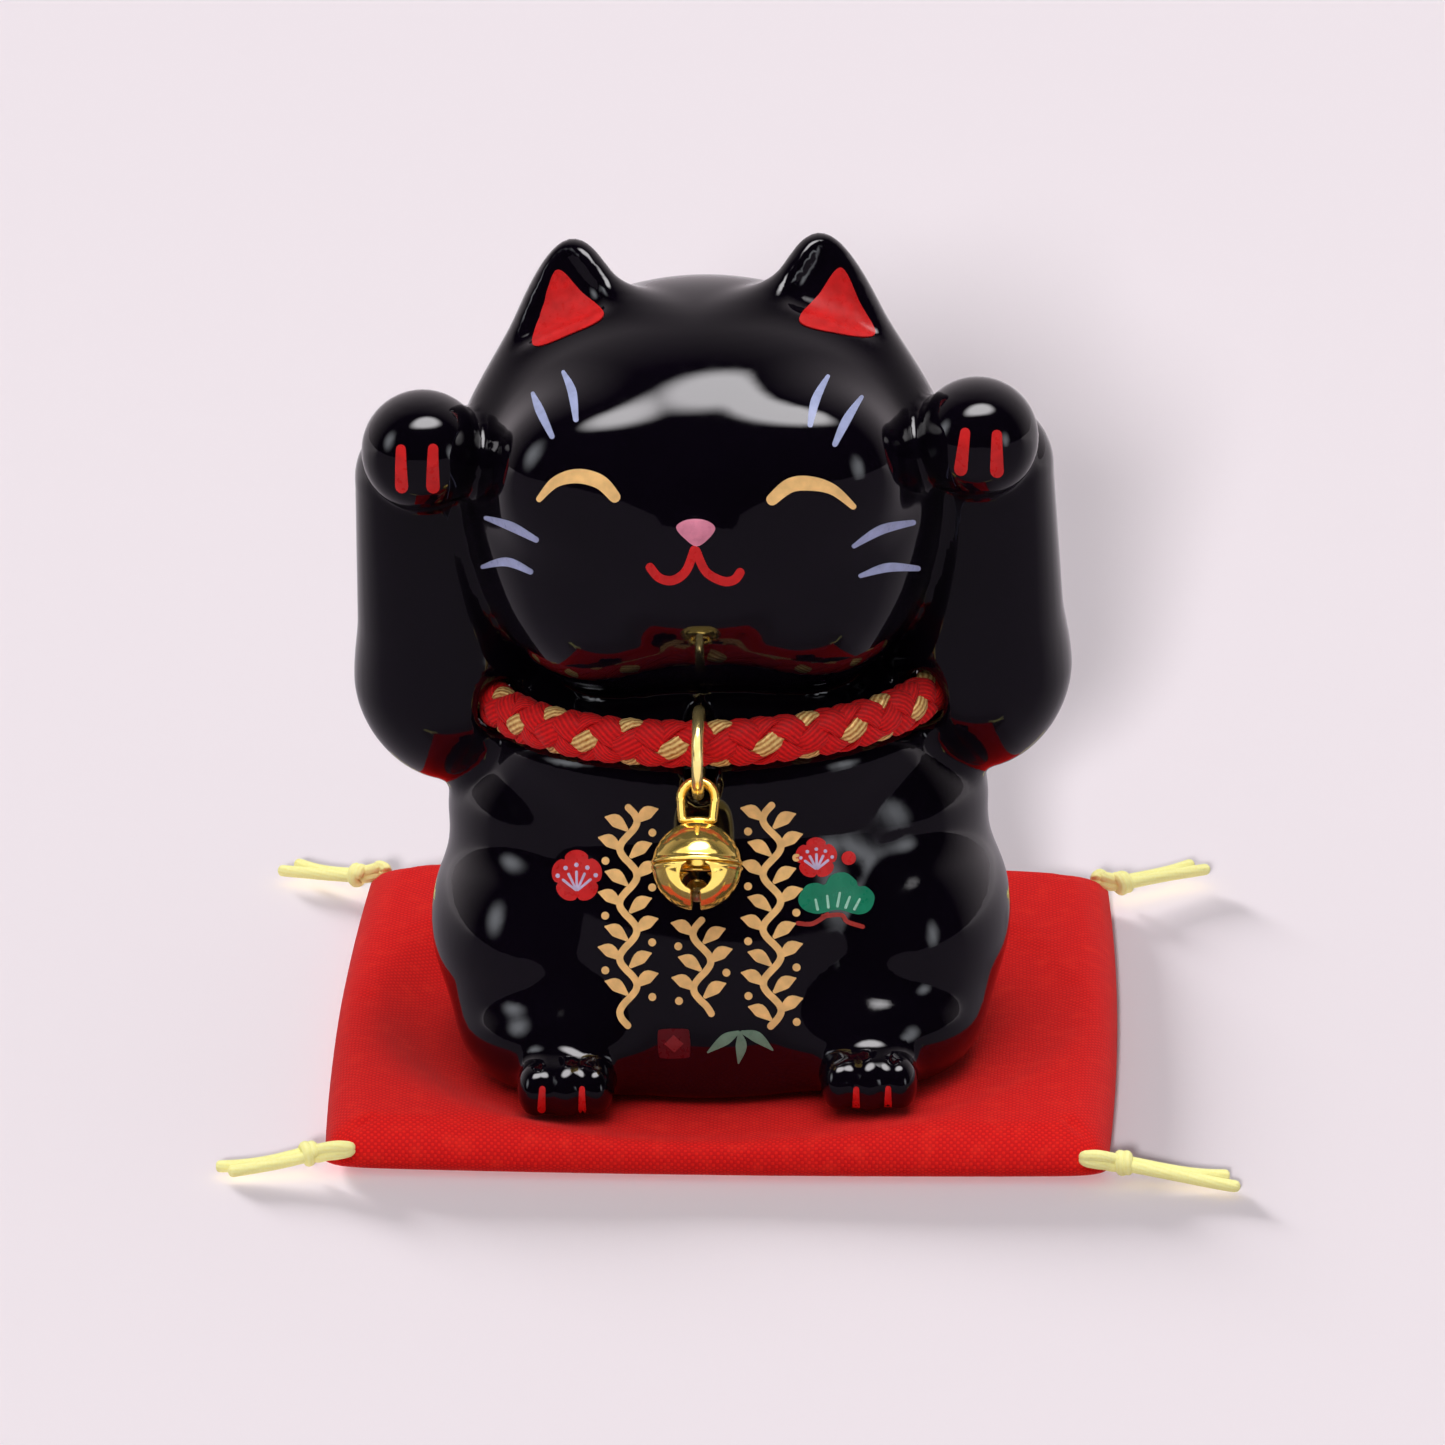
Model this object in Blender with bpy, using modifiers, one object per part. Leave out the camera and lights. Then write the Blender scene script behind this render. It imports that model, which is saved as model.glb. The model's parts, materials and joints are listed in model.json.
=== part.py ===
"""Beckoning cat figurine: a hollow glazed ceramic cat with a braided collar and bell, on a tied square cushion.

Metres, +Z up. The cat faces -Y. The origin is the middle of the cushion's flat underside.
Dimensions below are in millimetres and become metres through MM.
"""

import math

import bmesh
import bpy
import numpy as np
from mathutils import Matrix, Vector

MM = 0.001
GAP = 0.3

# Cushion
CUSHION_SIDE = 90.4
CUSHION_BULGE = 1.1
SEAM_Z = 1.7
CROWN_Z = 5.2
EDGE_POWER = 30
COVER_THICK = 0.5
FILLING_INSET = 2.6
SEAT_HALF_X = 34.0
SEAT_HALF_Y = 36.0
SEAT_BACK = 4.0
DENT_EDGE = 0.25
DENT_CLEARANCE = 2.2 * GAP

# Cat: its own frame stands on the cushion, leaning a little towards -X
CAT_Y = -7.2
SEAT_Z = 4.4
LEAN = math.radians(2.0)
DRAIN_RADIUS = 5.0
FORM_STEP = 2.0
FORM_KEEP = 0.15

# Collar braid: an elliptical ring round the neck, in the cat's frame
COLLAR_HALF_X = 25.9
COLLAR_HALF_Y = 22.0
COLLAR_Z = 42.4
BRAID_THICK = 4.4
BRAID_WIDE = 5.3
CHANNEL_GAP = 0.45
CHANNEL_CLEARANCE = 0.35
KNOT_LENGTH = 6.0
KNOT_WALL = 0.7

# Jump ring and bell, hanging from the collar and leaning out on the belly
RING_WIRE = 1.35
RING_MEAN_RADIUS = 4.7
RING_DROP = 1.05
RING_SIDE = -0.9
RING_ROOM = (2.2, 7.2, 7.2)
HANG_TILT = math.radians(28.5)
BELL_RADIUS = 5.0
BELL_WALL = 0.45
BELL_LIP = 0.35
EYE_WIDTH = 5.0
EYE_HEIGHT = 5.3
EYE_STRIP = 1.0
EYE_DEPTH = 1.5
EYE_SUNK = 0.2
SLIT_WIDTH = 0.9
HOLE_RADIUS = 1.55
HOLE_DROP = math.radians(24.0)
PELLET_RADIUS = 1.3

# Corner ties
TIE_DIAMETER = 1.4
TIE_KNOT_RADIUS = 1.55
TIE_Z = 2.5
TIE_START = 0.45
TIE_SPREAD = 1.15


# ---------------------------------------------------------------- the cat's blended form

# centre, half sizes, width of the blend into what comes before it, mirrored across X
BODY_MASSES = (
    ((0, 4, 12), (29.5, 30, 36), 0, False),  # torso
    ((0, 5, 9), (31.5, 30.5, 17), 3, False),  # seat
    ((16, -9, 6), (14.5, 17.5, 10), 3, True),  # hip base
    ((0, 1, 36), (27, 22.5, 14), 4, False),  # chest
    ((15.5, 2, 27), (15.5, 18, 14), 2.5, True),  # flank
    ((30, 1, 43.5), (10.6, 11.5, 12.5), 2.5, True),  # elbow
    ((24, 4, 53), (8, 9.5, 17), 3, True),  # web of clay between arm and head
    ((20, -2, 14.5), (13.3, 19.5, 14.5), 2.4, True),  # haunch
    ((17.2, -24, 3.2), (5.4, 6.2, 4.6), 1.4, True),  # foot
    ((13.8, -27.4, 3.2), (2.1, 3.2, 3.2), 0.8, True),  # toes
    ((17.2, -27.6, 3.2), (2.1, 3.2, 3.2), 0.8, True),
    ((20.6, -27.4, 3.2), (2.1, 3.2, 3.2), 0.8, True),
)
FOREARM = ((30.5, -0.5, 44), (32, -3.5, 68.5), 10.0, 7.6, 2.0)
PAW = ((31.2, -11.5, 74.4), (6.9, 6.9, 6.9), 1.8)
HEAD_MASSES = (
    ((0, -4, 67.3), (28, 24, 23.5), 0, False),  # skull
    ((11, -6, 58.5), (13.5, 18, 14), 3, True),  # cheek
    ((12.8, -18.6, 73.5), (9, 6.6, 8.2), 5, True),  # closed eye
    ((0, -19.8, 64), (12, 7.5, 8.5), 3, False),  # muzzle
    ((0, -27.4, 70), (2, 1.3, 1.4), 1.2, False),  # nose
)
HEAD_BLEND = 1.6
TAIL = ((0, 30, 5), (10, 32, 9), (16, 27, 14))
TAIL_RADII = (5.2, 4.4, 3.8)
CAVITY_MASSES = (
    ((0, 4, 14), (24.5, 24.5, 27.5), 0, False),
    ((0, -1, 40), (15, 12, 16), 4, False),
    ((0, -3, 66), (22, 18.5, 18), 4, False),
)
CAVITY_FLOOR = 3.2

# Right ear: a rounded three-sided pyramid with a shallow dish in front
EAR_TIP = (15.2, -1, 103.5)
EAR_INNER = (2, -10.5, 88)
EAR_OUTER = (28, -8.5, 78)
EAR_BACK = (15, 12, 80)
EAR_ROOT_Z = 76
EAR_RIM = 3.4
EAR_DISH = 1.5
EAR_BLEND = 3.2


def ellipsoid(points, centre, radii):
    """Distance to an ellipsoid, negative inside."""
    scaled = (points - np.array(centre)) / np.array(radii)
    near = np.linalg.norm(scaled, axis=1)
    steep = np.linalg.norm(scaled / np.array(radii), axis=1)
    return near * (near - 1) / np.maximum(steep, 1e-9)


def limb(points, start, end, start_radius, end_radius):
    """Distance to a tapered rod with round ends."""
    start = np.array(start, float)
    along = np.array(end, float) - start
    share = np.clip((points - start) @ along / (along @ along), 0, 1)
    radius = start_radius + (end_radius - start_radius) * share
    return np.linalg.norm(points - start - share[:, None] * along, axis=1) - radius


def merge(first, second, width):
    """Union of two forms with a fillet of the given width."""
    share = np.clip(0.5 + 0.5 * (second - first) / width, 0, 1)
    return second + (first - second) * share - width * share * (1 - share)


def overlap(first, second, width):
    """What two forms share, with a rounded edge."""
    return -merge(-first, -second, width)


def carve(form, tool, width):
    """The form with the tool taken away, with a rounded edge."""
    return overlap(form, -tool, width)


def outside(points, corners, inner_point):
    """Distance past the plane through three corners, positive on the side away from inner_point."""
    first, second, third = (np.array(corner, float) for corner in corners)
    normal = np.cross(second - first, third - first)
    normal = normal / np.linalg.norm(normal)
    if (np.array(inner_point) - first) @ normal > 0:
        normal = -normal
    return (points - first) @ normal


def ear(points):
    middle = np.mean([EAR_TIP, EAR_INNER, EAR_OUTER, EAR_BACK], axis=0)
    front = outside(points, (EAR_TIP, EAR_OUTER, EAR_INNER), middle)
    inner = outside(points, (EAR_TIP, EAR_INNER, EAR_BACK), middle)
    outer = outside(points, (EAR_TIP, EAR_BACK, EAR_OUTER), middle)
    brow = outside(points, (EAR_INNER, EAR_OUTER, (EAR_BACK[0], 5, EAR_ROOT_Z)), middle)
    pyramid = overlap(overlap(front, inner, 6), outer, 7)
    pyramid = overlap(pyramid, EAR_ROOT_Z - points[:, 2], 1)
    dish = overlap(overlap(inner + EAR_RIM, outer + EAR_RIM, 2.5), brow + EAR_RIM, 2)
    dish = overlap(dish, -(front + EAR_DISH), 0.8)
    return carve(pyramid, dish, 0.9)


def collar_channel(points, gap):
    """Distance to the elliptical ring that the braid fills, grown by a gap."""
    x, y, z = points.T
    reach = np.hypot(x / COLLAR_HALF_X, y / COLLAR_HALF_Y)
    slope = np.hypot(x / COLLAR_HALF_X**2, y / COLLAR_HALF_Y**2) / np.maximum(reach, 1e-9)
    across = (reach - 1) / np.maximum(slope, 1e-9)
    section = np.stack([across, z - COLLAR_Z, 0 * z], 1)
    return ellipsoid(section, (0, 0, 0), (BRAID_THICK / 2 + gap, BRAID_WIDE / 2 + gap, 1000))


def gathered(points, mirrored_points, masses):
    form = None
    for centre, radii, blend, is_pair in masses:
        mass = ellipsoid(mirrored_points if is_pair else points, centre, radii)
        form = mass if form is None else merge(form, mass, blend)
    return form


def cat_form(points):
    """The outer skin of the cat: negative inside the clay."""
    mirrored = points.copy()
    mirrored[:, 0] = np.abs(points[:, 0])
    form = gathered(points, mirrored, BODY_MASSES)
    form = merge(form, limb(mirrored, *FOREARM[:4]), FOREARM[4])
    form = merge(form, ellipsoid(mirrored, *PAW[:2]), PAW[2])
    head = gathered(points, mirrored, HEAD_MASSES)
    head = merge(head, ear(mirrored), EAR_BLEND)
    form = merge(form, head, HEAD_BLEND)
    for index in range(2):
        piece = limb(points, *TAIL[index : index + 2], *TAIL_RADII[index : index + 2])
        form = merge(form, piece, 1.5)
    form = carve(form, collar_channel(points, CHANNEL_GAP), 1.4)
    ring_room = ellipsoid(points, (RING_SIDE, -COLLAR_HALF_Y, COLLAR_Z), RING_ROOM)
    form = carve(form, ring_room, 0.5)
    knot_room = ellipsoid(points, (0, COLLAR_HALF_Y, COLLAR_Z), (5.6, 4.2, 4.6))
    form = carve(form, knot_room, 0.8)
    return overlap(form, -points[:, 2], 1.2)


def hollow_cat_form(points):
    """The cat's wall: the outer skin less the cast cavity and the drain hole under it."""
    cavity = gathered(points, points, CAVITY_MASSES)
    cavity = overlap(cavity, CAVITY_FLOOR - points[:, 2], 2)
    drain = np.hypot(points[:, 0], points[:, 1] - 2) - DRAIN_RADIUS
    drain = overlap(drain, points[:, 2] - 2 * CAVITY_FLOOR, 0.5)
    return carve(cat_form(points), merge(cavity, drain, 0.6), 0.4)


def surface_net(form, low, high, step):
    """Points and four-sided faces of the surface where a form is zero, on a regular grid."""
    ticks = [np.arange(low[axis], high[axis] + step, step) for axis in range(3)]
    grid = np.stack(np.meshgrid(*ticks, indexing="ij"), -1)
    values = form(grid.reshape(-1, 3)).reshape(grid.shape[:3])
    while True:
        points, faces = net_faces(values)
        edges = np.concatenate([faces[:, [side, (side + 1) % 4]] for side in range(4)])
        edges, uses = np.unique(np.sort(edges, axis=1), axis=0, return_counts=True)
        pinched = points[edges[uses > 2]].mean(1)
        if not len(pinched):
            return np.array(low) + points * step, faces
        for place in pinched:
            around = tuple(slice(int(math.floor(c)), int(math.floor(c)) + 2) for c in place)
            values[around] = np.minimum(values[around], -0.05 * step)


def net_faces(values):
    """One point in each cell that the surface crosses, in grid units, and a face round each crossed edge."""
    cells = tuple(count - 1 for count in values.shape)

    def corner(array, shift):
        return array[tuple(slice(shift[axis], shift[axis] + cells[axis]) for axis in range(3))]

    total = np.zeros(cells + (3,))
    crossings = np.zeros(cells)
    for shift in np.ndindex(2, 2, 2):
        for axis in range(3):
            if shift[axis]:
                continue
            far_shift = tuple(1 if other == axis else shift[other] for other in range(3))
            near, far = corner(values, shift), corner(values, far_shift)
            crosses = (near < 0) != (far < 0)
            place = np.zeros(cells + (3,)) + np.array(shift)
            place[..., axis] = np.where(crosses, near / np.where(crosses, near - far, 1), 0)
            total += place * crosses[..., None]
            crossings += crosses
    active = crossings > 0
    index = np.full(cells, -1)
    index[active] = np.arange(active.sum())
    points = np.stack(np.nonzero(active), 1) + total[active] / crossings[active][:, None]

    faces = []
    inside = values < 0
    for axis in range(3):
        beside, above = (axis + 1) % 3, (axis + 2) % 3
        near = np.take(inside, range(inside.shape[axis] - 1), axis)
        far = np.take(inside, range(1, inside.shape[axis]), axis)
        edge = np.stack(np.nonzero(near != far), 1)
        around = []
        for back_beside, back_above in ((1, 1), (0, 1), (0, 0), (1, 0)):
            cell = edge.copy()
            cell[:, beside] -= back_beside
            cell[:, above] -= back_above
            around.append(index[tuple(cell.T)])
        quads = np.stack(around, 1)
        faces_back = ~near[tuple(edge.T)]
        quads[faces_back] = quads[faces_back][:, ::-1]
        faces.append(quads)
    return points, np.concatenate(faces)


def settled(form, points, rounds=3, reach=0.02):
    """Points moved onto the form's surface along its slope."""
    for _ in range(rounds):
        slope = np.empty_like(points)
        for axis in range(3):
            nudge = np.zeros(3)
            nudge[axis] = reach
            slope[:, axis] = (form(points + nudge) - form(points - nudge)) / (2 * reach)
        steepness = np.maximum((slope**2).sum(1), 0.05)
        points = points - (form(points) / steepness)[:, None] * slope
    return points


# ---------------------------------------------------------------- scene helpers


def clear_scene():
    for scene_object in list(bpy.data.objects):
        bpy.data.objects.remove(scene_object)


def new_collection(name):
    collection = bpy.data.collections.new(name)
    bpy.context.scene.collection.children.link(collection)
    return collection


def finish_material(name, colour, roughness, metallic=0.0):
    material = bpy.data.materials.new(name)
    material.use_nodes = True
    shader = material.node_tree.nodes["Principled BSDF"]
    shader.inputs["Base Color"].default_value = (*colour, 1)
    shader.inputs["Roughness"].default_value = roughness
    shader.inputs["Metallic"].default_value = metallic
    return material


def add_object(name, mesh, collection, material=None, parent=None, place=None):
    """Link a mesh as an object; place is its matrix in its parent's frame, in metres."""
    node = bpy.data.objects.new(name, mesh)
    collection.objects.link(node)
    if parent:
        node.parent = parent
    node.matrix_basis = place or Matrix()
    if material:
        mesh.materials.clear()
        mesh.materials.append(material)
    return node


def add_empty(name, collection, place, parent=None):
    empty = bpy.data.objects.new(name, None)
    collection.objects.link(empty)
    empty.parent = parent
    empty.matrix_basis = place
    return empty


def mesh_from(name, points, faces, smooth_angle=40):
    mesh = bpy.data.meshes.new(name)
    mesh.from_pydata((np.asarray(points) * MM).tolist(), [], np.asarray(faces).tolist())
    mesh.update()
    mesh.shade_smooth()
    mesh.set_sharp_from_angle(angle=math.radians(smooth_angle))
    return mesh


def mesh_of(scene_object):
    """The evaluated mesh of an object, welded; the object is removed."""
    graph = bpy.context.evaluated_depsgraph_get()
    mesh = bpy.data.meshes.new_from_object(scene_object.evaluated_get(graph))
    mesh.transform(scene_object.matrix_world)
    work = bmesh.new()
    work.from_mesh(mesh)
    bmesh.ops.remove_doubles(work, verts=work.verts, dist=1e-5)
    bmesh.ops.recalc_face_normals(work, faces=work.faces)
    work.to_mesh(mesh)
    work.free()
    bpy.data.objects.remove(scene_object)
    return mesh


def cut_by(node, cutter, name):
    boolean = node.modifiers.new(name, "BOOLEAN")
    boolean.operation = "DIFFERENCE"
    boolean.object = cutter
    cutter.hide_render = True
    cutter.display_type = "WIRE"


def shift(x, y, z):
    return Matrix.Translation(Vector((x, y, z)) * MM)


# ---------------------------------------------------------------- cushion


def cushion_outline(along):
    """Half width of the cushion at a place along it, from -1 to 1: the sides bow out a little."""
    return CUSHION_SIDE / 2 - CUSHION_BULGE * along**2


def cat_base_height(x):
    """Height of the plane that the leaning cat's base lies in."""
    return SEAT_Z + math.tan(LEAN) * x


def cushion_sheet(name, rise, inset, count=14):
    """A grid over the cushion whose height rises from the seam; it dips flat under the cat."""
    work = bmesh.new()
    bmesh.ops.create_grid(work, x_segments=count, y_segments=count, size=1)
    for corner in work.verts:
        u = math.sin(corner.co.x * math.pi / 2)
        v = math.sin(corner.co.y * math.pi / 2)
        x = u * (cushion_outline(v) - inset)
        y = v * (cushion_outline(u) - inset)
        swell = math.sqrt((1 - abs(u) ** EDGE_POWER) * (1 - abs(v) ** EDGE_POWER))
        height = SEAM_Z + (rise - SEAM_Z) * swell
        if rise > SEAM_Z:
            under_cat = math.hypot(x / SEAT_HALF_X, (y - CAT_Y - SEAT_BACK) / SEAT_HALF_Y)
            dip = min(1, max(0, (1 + DENT_EDGE - under_cat) / DENT_EDGE))
            seat = cat_base_height(x) - DENT_CLEARANCE - (CROWN_Z - rise)
            height += (min(height, seat) - height) * dip * dip * (3 - 2 * dip)
        corner.co = Vector((x, y, height)) * MM
    mesh = bpy.data.meshes.new(name)
    work.to_mesh(mesh)
    work.free()
    return mesh


def add_cushion(collection):
    cloth = finish_material("red_cotton", (0.62, 0.012, 0.01), 0.85)
    wadding = finish_material("wadding", (0.8, 0.78, 0.72), 0.95)
    top = add_object(
        "cushion_top_cover", cushion_sheet("top", CROWN_Z, 0), collection, cloth
    )
    for vertex in top.data.vertices:
        vertex.co.z += GAP * MM
    bottom = add_object(
        "cushion_bottom_cover", cushion_sheet("bottom", COVER_THICK, 0), collection, cloth
    )
    for vertex in bottom.data.vertices:
        vertex.co.z -= GAP * MM
        if vertex.co.z < (COVER_THICK + 0.05) * MM:
            vertex.co.z = COVER_THICK * MM
    for cover, side in ((top, -1), (bottom, -1)):
        thicken = cover.modifiers.new("cloth thickness", "SOLIDIFY")
        thicken.thickness = COVER_THICK * MM
        thicken.offset = side
    add_filling(collection, wadding)


def add_filling(collection, material):
    """One pad between the covers: two sheets joined round their edge."""
    work = bmesh.new()
    upper = cushion_sheet("upper", CROWN_Z - COVER_THICK - 2 * GAP, FILLING_INSET)
    lower = cushion_sheet("lower", COVER_THICK + GAP, FILLING_INSET)
    work.from_mesh(upper)
    upper_faces = len(work.faces)
    work.from_mesh(lower)
    work.faces.ensure_lookup_table()
    bmesh.ops.reverse_faces(work, faces=work.faces[upper_faces:])
    bmesh.ops.remove_doubles(work, verts=work.verts, dist=1e-6)
    bmesh.ops.recalc_face_normals(work, faces=work.faces)
    mesh = bpy.data.meshes.new("filling")
    work.to_mesh(mesh)
    work.free()
    mesh.shade_smooth()
    add_object("cushion_filling", mesh, collection, material)


# ---------------------------------------------------------------- corner ties


def cord_tube(path, diameter):
    """A cord along a path in millimetres, as a mesh."""
    curve = bpy.data.curves.new("cord", "CURVE")
    curve.dimensions = "3D"
    curve.bevel_depth = diameter / 2 * MM
    curve.bevel_resolution = 2
    curve.use_fill_caps = True
    spline = curve.splines.new("POLY")
    spline.points.add(len(path) - 1)
    for point, place in zip(spline.points, path):
        point.co = (*(Vector(place) * MM), 1)
    guide = bpy.data.objects.new("cord", curve)
    bpy.context.scene.collection.objects.link(guide)
    return mesh_of(guide)


def ball(centre, radii):
    work = bmesh.new()
    bmesh.ops.create_uvsphere(work, u_segments=16, v_segments=10, radius=1)
    scale = Matrix.Diagonal((*(Vector(radii) * MM), 1))
    bmesh.ops.transform(work, matrix=shift(*centre) @ scale, verts=work.verts)
    mesh = bpy.data.meshes.new("ball")
    work.to_mesh(mesh)
    work.free()
    return mesh


def fused(name, meshes, voxel, keep):
    """Overlapping closed meshes made one body."""
    work = bmesh.new()
    for mesh in meshes:
        work.from_mesh(mesh)
    joined = bpy.data.meshes.new(name)
    work.to_mesh(joined)
    work.free()
    guide = bpy.data.objects.new(name, joined)
    bpy.context.scene.collection.objects.link(guide)
    remesh = guide.modifiers.new("one skin", "REMESH")
    remesh.mode = "VOXEL"
    remesh.voxel_size = voxel * MM
    fewer = guide.modifiers.new("fewer faces", "DECIMATE")
    fewer.ratio = keep
    mesh = mesh_of(guide)
    mesh.name = name
    mesh.shade_smooth()
    return mesh


def tie_mesh(reaches, droop):
    """A cord knotted at the corner: a knot on the outside and two short tails, pointing along +X."""
    knot_x = TIE_KNOT_RADIUS
    tail = TIE_DIAMETER / 2
    tails = []
    for side, reach in zip((1, -1), reaches):
        path = []
        for step in range(7):
            share = step / 6
            spread = side * (TIE_START + TIE_SPREAD * share**1.6)
            rise = -droop * math.sin(share * math.pi / 2)
            path.append((knot_x + reach * share, spread, rise))
        tails.append(cord_tube(path, TIE_DIAMETER))
    knot = ball((knot_x, 0, 0), (TIE_KNOT_RADIUS, TIE_KNOT_RADIUS, TIE_KNOT_RADIUS * 0.95))
    tip = ball((knot_x + 1.4, 0, -0.05), (tail * 1.3, tail * 1.6, tail))
    return fused("tie", [knot, tip, *tails], 0.34, 0.16)


def add_ties(collection):
    material = finish_material("yellow_cord", (0.93, 0.86, 0.33), 0.8)
    corner = CUSHION_SIDE / 2 - CUSHION_BULGE + GAP
    places = (
        ("corner_tie_front_left", -1, -1, 192, (9.2, 10.4), 1.2),
        ("corner_tie_front_right", 1, -1, -9, (11.8, 13.4), 1.2),
        ("corner_tie_back_left", -1, 1, 152, (10.2, 9.6), 0.8),
        ("corner_tie_back_right", 1, 1, 37, (11.6, 12.2), 0.4),
    )
    for name, side_x, side_y, heading, reaches, droop in places:
        place = shift(side_x * corner, side_y * (corner - 0.6), TIE_Z)
        turn = Matrix.Rotation(math.radians(heading), 4, "Z")
        add_object(name, tie_mesh(reaches, droop), collection, material, place=place @ turn)


# ---------------------------------------------------------------- cat, collar and bell


def add_cat_body(collection, cutters, cat):
    glaze = finish_material("black_glaze", (0.006, 0.005, 0.009), 0.06)
    points, faces = surface_net(hollow_cat_form, (-44, -35, -2), (44, 40, 101), FORM_STEP)
    mesh = mesh_from("cat_body", settled(hollow_cat_form, points), faces)
    body = add_object("cat_body", mesh, collection, glaze, cat)
    fewer = body.modifiers.new("fewer faces", "DECIMATE")
    fewer.ratio = FORM_KEEP
    thick, wide = BRAID_THICK + 2 * CHANNEL_CLEARANCE, BRAID_WIDE + 2 * CHANNEL_CLEARANCE
    channel = mesh_from("channel", *elliptic_ring(thick, wide))
    cut_by(body, add_object("collar_channel", channel, cutters, parent=cat), "collar channel")


def elliptic_ring(thick, wide, count=44, sides=10):
    """Points and faces of a closed ring of elliptical section on the collar's line."""
    points = ring_section_loft(thick, wide, 0, 2 * math.pi, count, sides, True)
    return points, tube_faces(count, sides, True)


def ring_section_loft(thick, wide, start, end, count, sides, closed):
    """A tube of elliptical section swept along the collar's ellipse between two angles."""
    points = []
    for step in range(count):
        angle = start + (end - start) * step / (count if closed else count - 1)
        centre = Vector((COLLAR_HALF_X * math.cos(angle), COLLAR_HALF_Y * math.sin(angle), COLLAR_Z))
        outward = Vector((math.cos(angle) / COLLAR_HALF_X, math.sin(angle) / COLLAR_HALF_Y, 0))
        outward.normalize()
        for side in range(sides):
            turn = 2 * math.pi * side / sides
            across = outward * (thick / 2 * math.cos(turn))
            points.append(centre + across + Vector((0, 0, wide / 2 * math.sin(turn))))
    return points


def tube_faces(count, sides, closed):
    faces = []
    for step in range(count if closed else count - 1):
        for side in range(sides):
            here, there = step * sides, (step + 1) % count * sides
            turn = (side + 1) % sides
            faces.append((here + side, there + side, there + turn, here + turn))
    return faces


def add_collar(collection, cat):
    braid = finish_material("braided_cord", (0.6, 0.012, 0.015), 0.75)
    mesh = mesh_from("braid", *elliptic_ring(BRAID_THICK, BRAID_WIDE))
    add_object("collar_braid", mesh, collection, braid, cat)
    add_collar_knot(collection, cat, braid)


def add_collar_knot(collection, cat, material):
    """A whipped sleeve of thread that closes the braid's ends at the nape."""
    half_turn = KNOT_LENGTH / 2 / COLLAR_HALF_X
    middle = math.pi / 2
    count, sides = 7, 14
    rings = []
    for growth in (GAP * 2, GAP * 2 + KNOT_WALL * 2):
        rings.append(
            ring_section_loft(
                BRAID_THICK + growth,
                BRAID_WIDE + growth,
                middle - half_turn,
                middle + half_turn,
                count,
                sides,
                False,
            )
        )
    inner, outer = rings
    points = inner + outer
    start = len(inner)
    faces = [tuple(reversed(face)) for face in tube_faces(count, sides, False)]
    faces += [tuple(start + corner for corner in face) for face in tube_faces(count, sides, False)]
    for side in range(sides):
        turn = (side + 1) % sides
        faces.append((side, start + side, start + turn, turn))
        last = (count - 1) * sides
        faces.append((last + turn, start + last + turn, start + last + side, last + side))
    mesh = mesh_from("sleeve", points, faces)
    work = bmesh.new()
    work.from_mesh(mesh)
    bmesh.ops.recalc_face_normals(work, faces=work.faces)
    work.to_mesh(mesh)
    work.free()
    add_object("collar_knot", mesh, collection, material, cat)


def add_jump_ring(collection, hang, material):
    """Split ring round the braid: its ends meet with a small gap at the back."""
    count = 28
    opening = math.radians(4)
    path = []
    for step in range(count + 1):
        angle = math.pi / 2 + opening / 2 + (2 * math.pi - opening) * step / count
        y = RING_MEAN_RADIUS * math.sin(angle)
        z = RING_MEAN_RADIUS * math.cos(angle)
        path.append((0, y, z - RING_DROP))
    mesh = cord_tube(path, RING_WIRE)
    mesh.shade_smooth()
    add_object("jump_ring", mesh, collection, material, hang)


def turned(name, profile, steps, collection, material, parent, place=None):
    """A turned piece from a closed profile of (radius, height), running down its outer side."""
    mesh = bpy.data.meshes.new(name)
    corners = [Vector((radius, 0, height)) * MM for radius, height in profile]
    edges = [(index, (index + 1) % len(corners)) for index in range(len(corners))]
    mesh.from_pydata(corners, edges, [])
    node = add_object(name, mesh, collection, material, parent, place)
    screw = node.modifiers.new("turn", "SCREW")
    screw.steps = screw.render_steps = steps
    screw.use_merge_vertices = True
    screw.merge_threshold = 0.00001
    return node


def bell_centre_drop():
    """Depth of the bell's centre below the ring's lowest wire, which the eye's loop hangs on."""
    return EYE_HEIGHT - EYE_STRIP - RING_WIRE / 2 - GAP + BELL_RADIUS - EYE_SUNK


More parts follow.
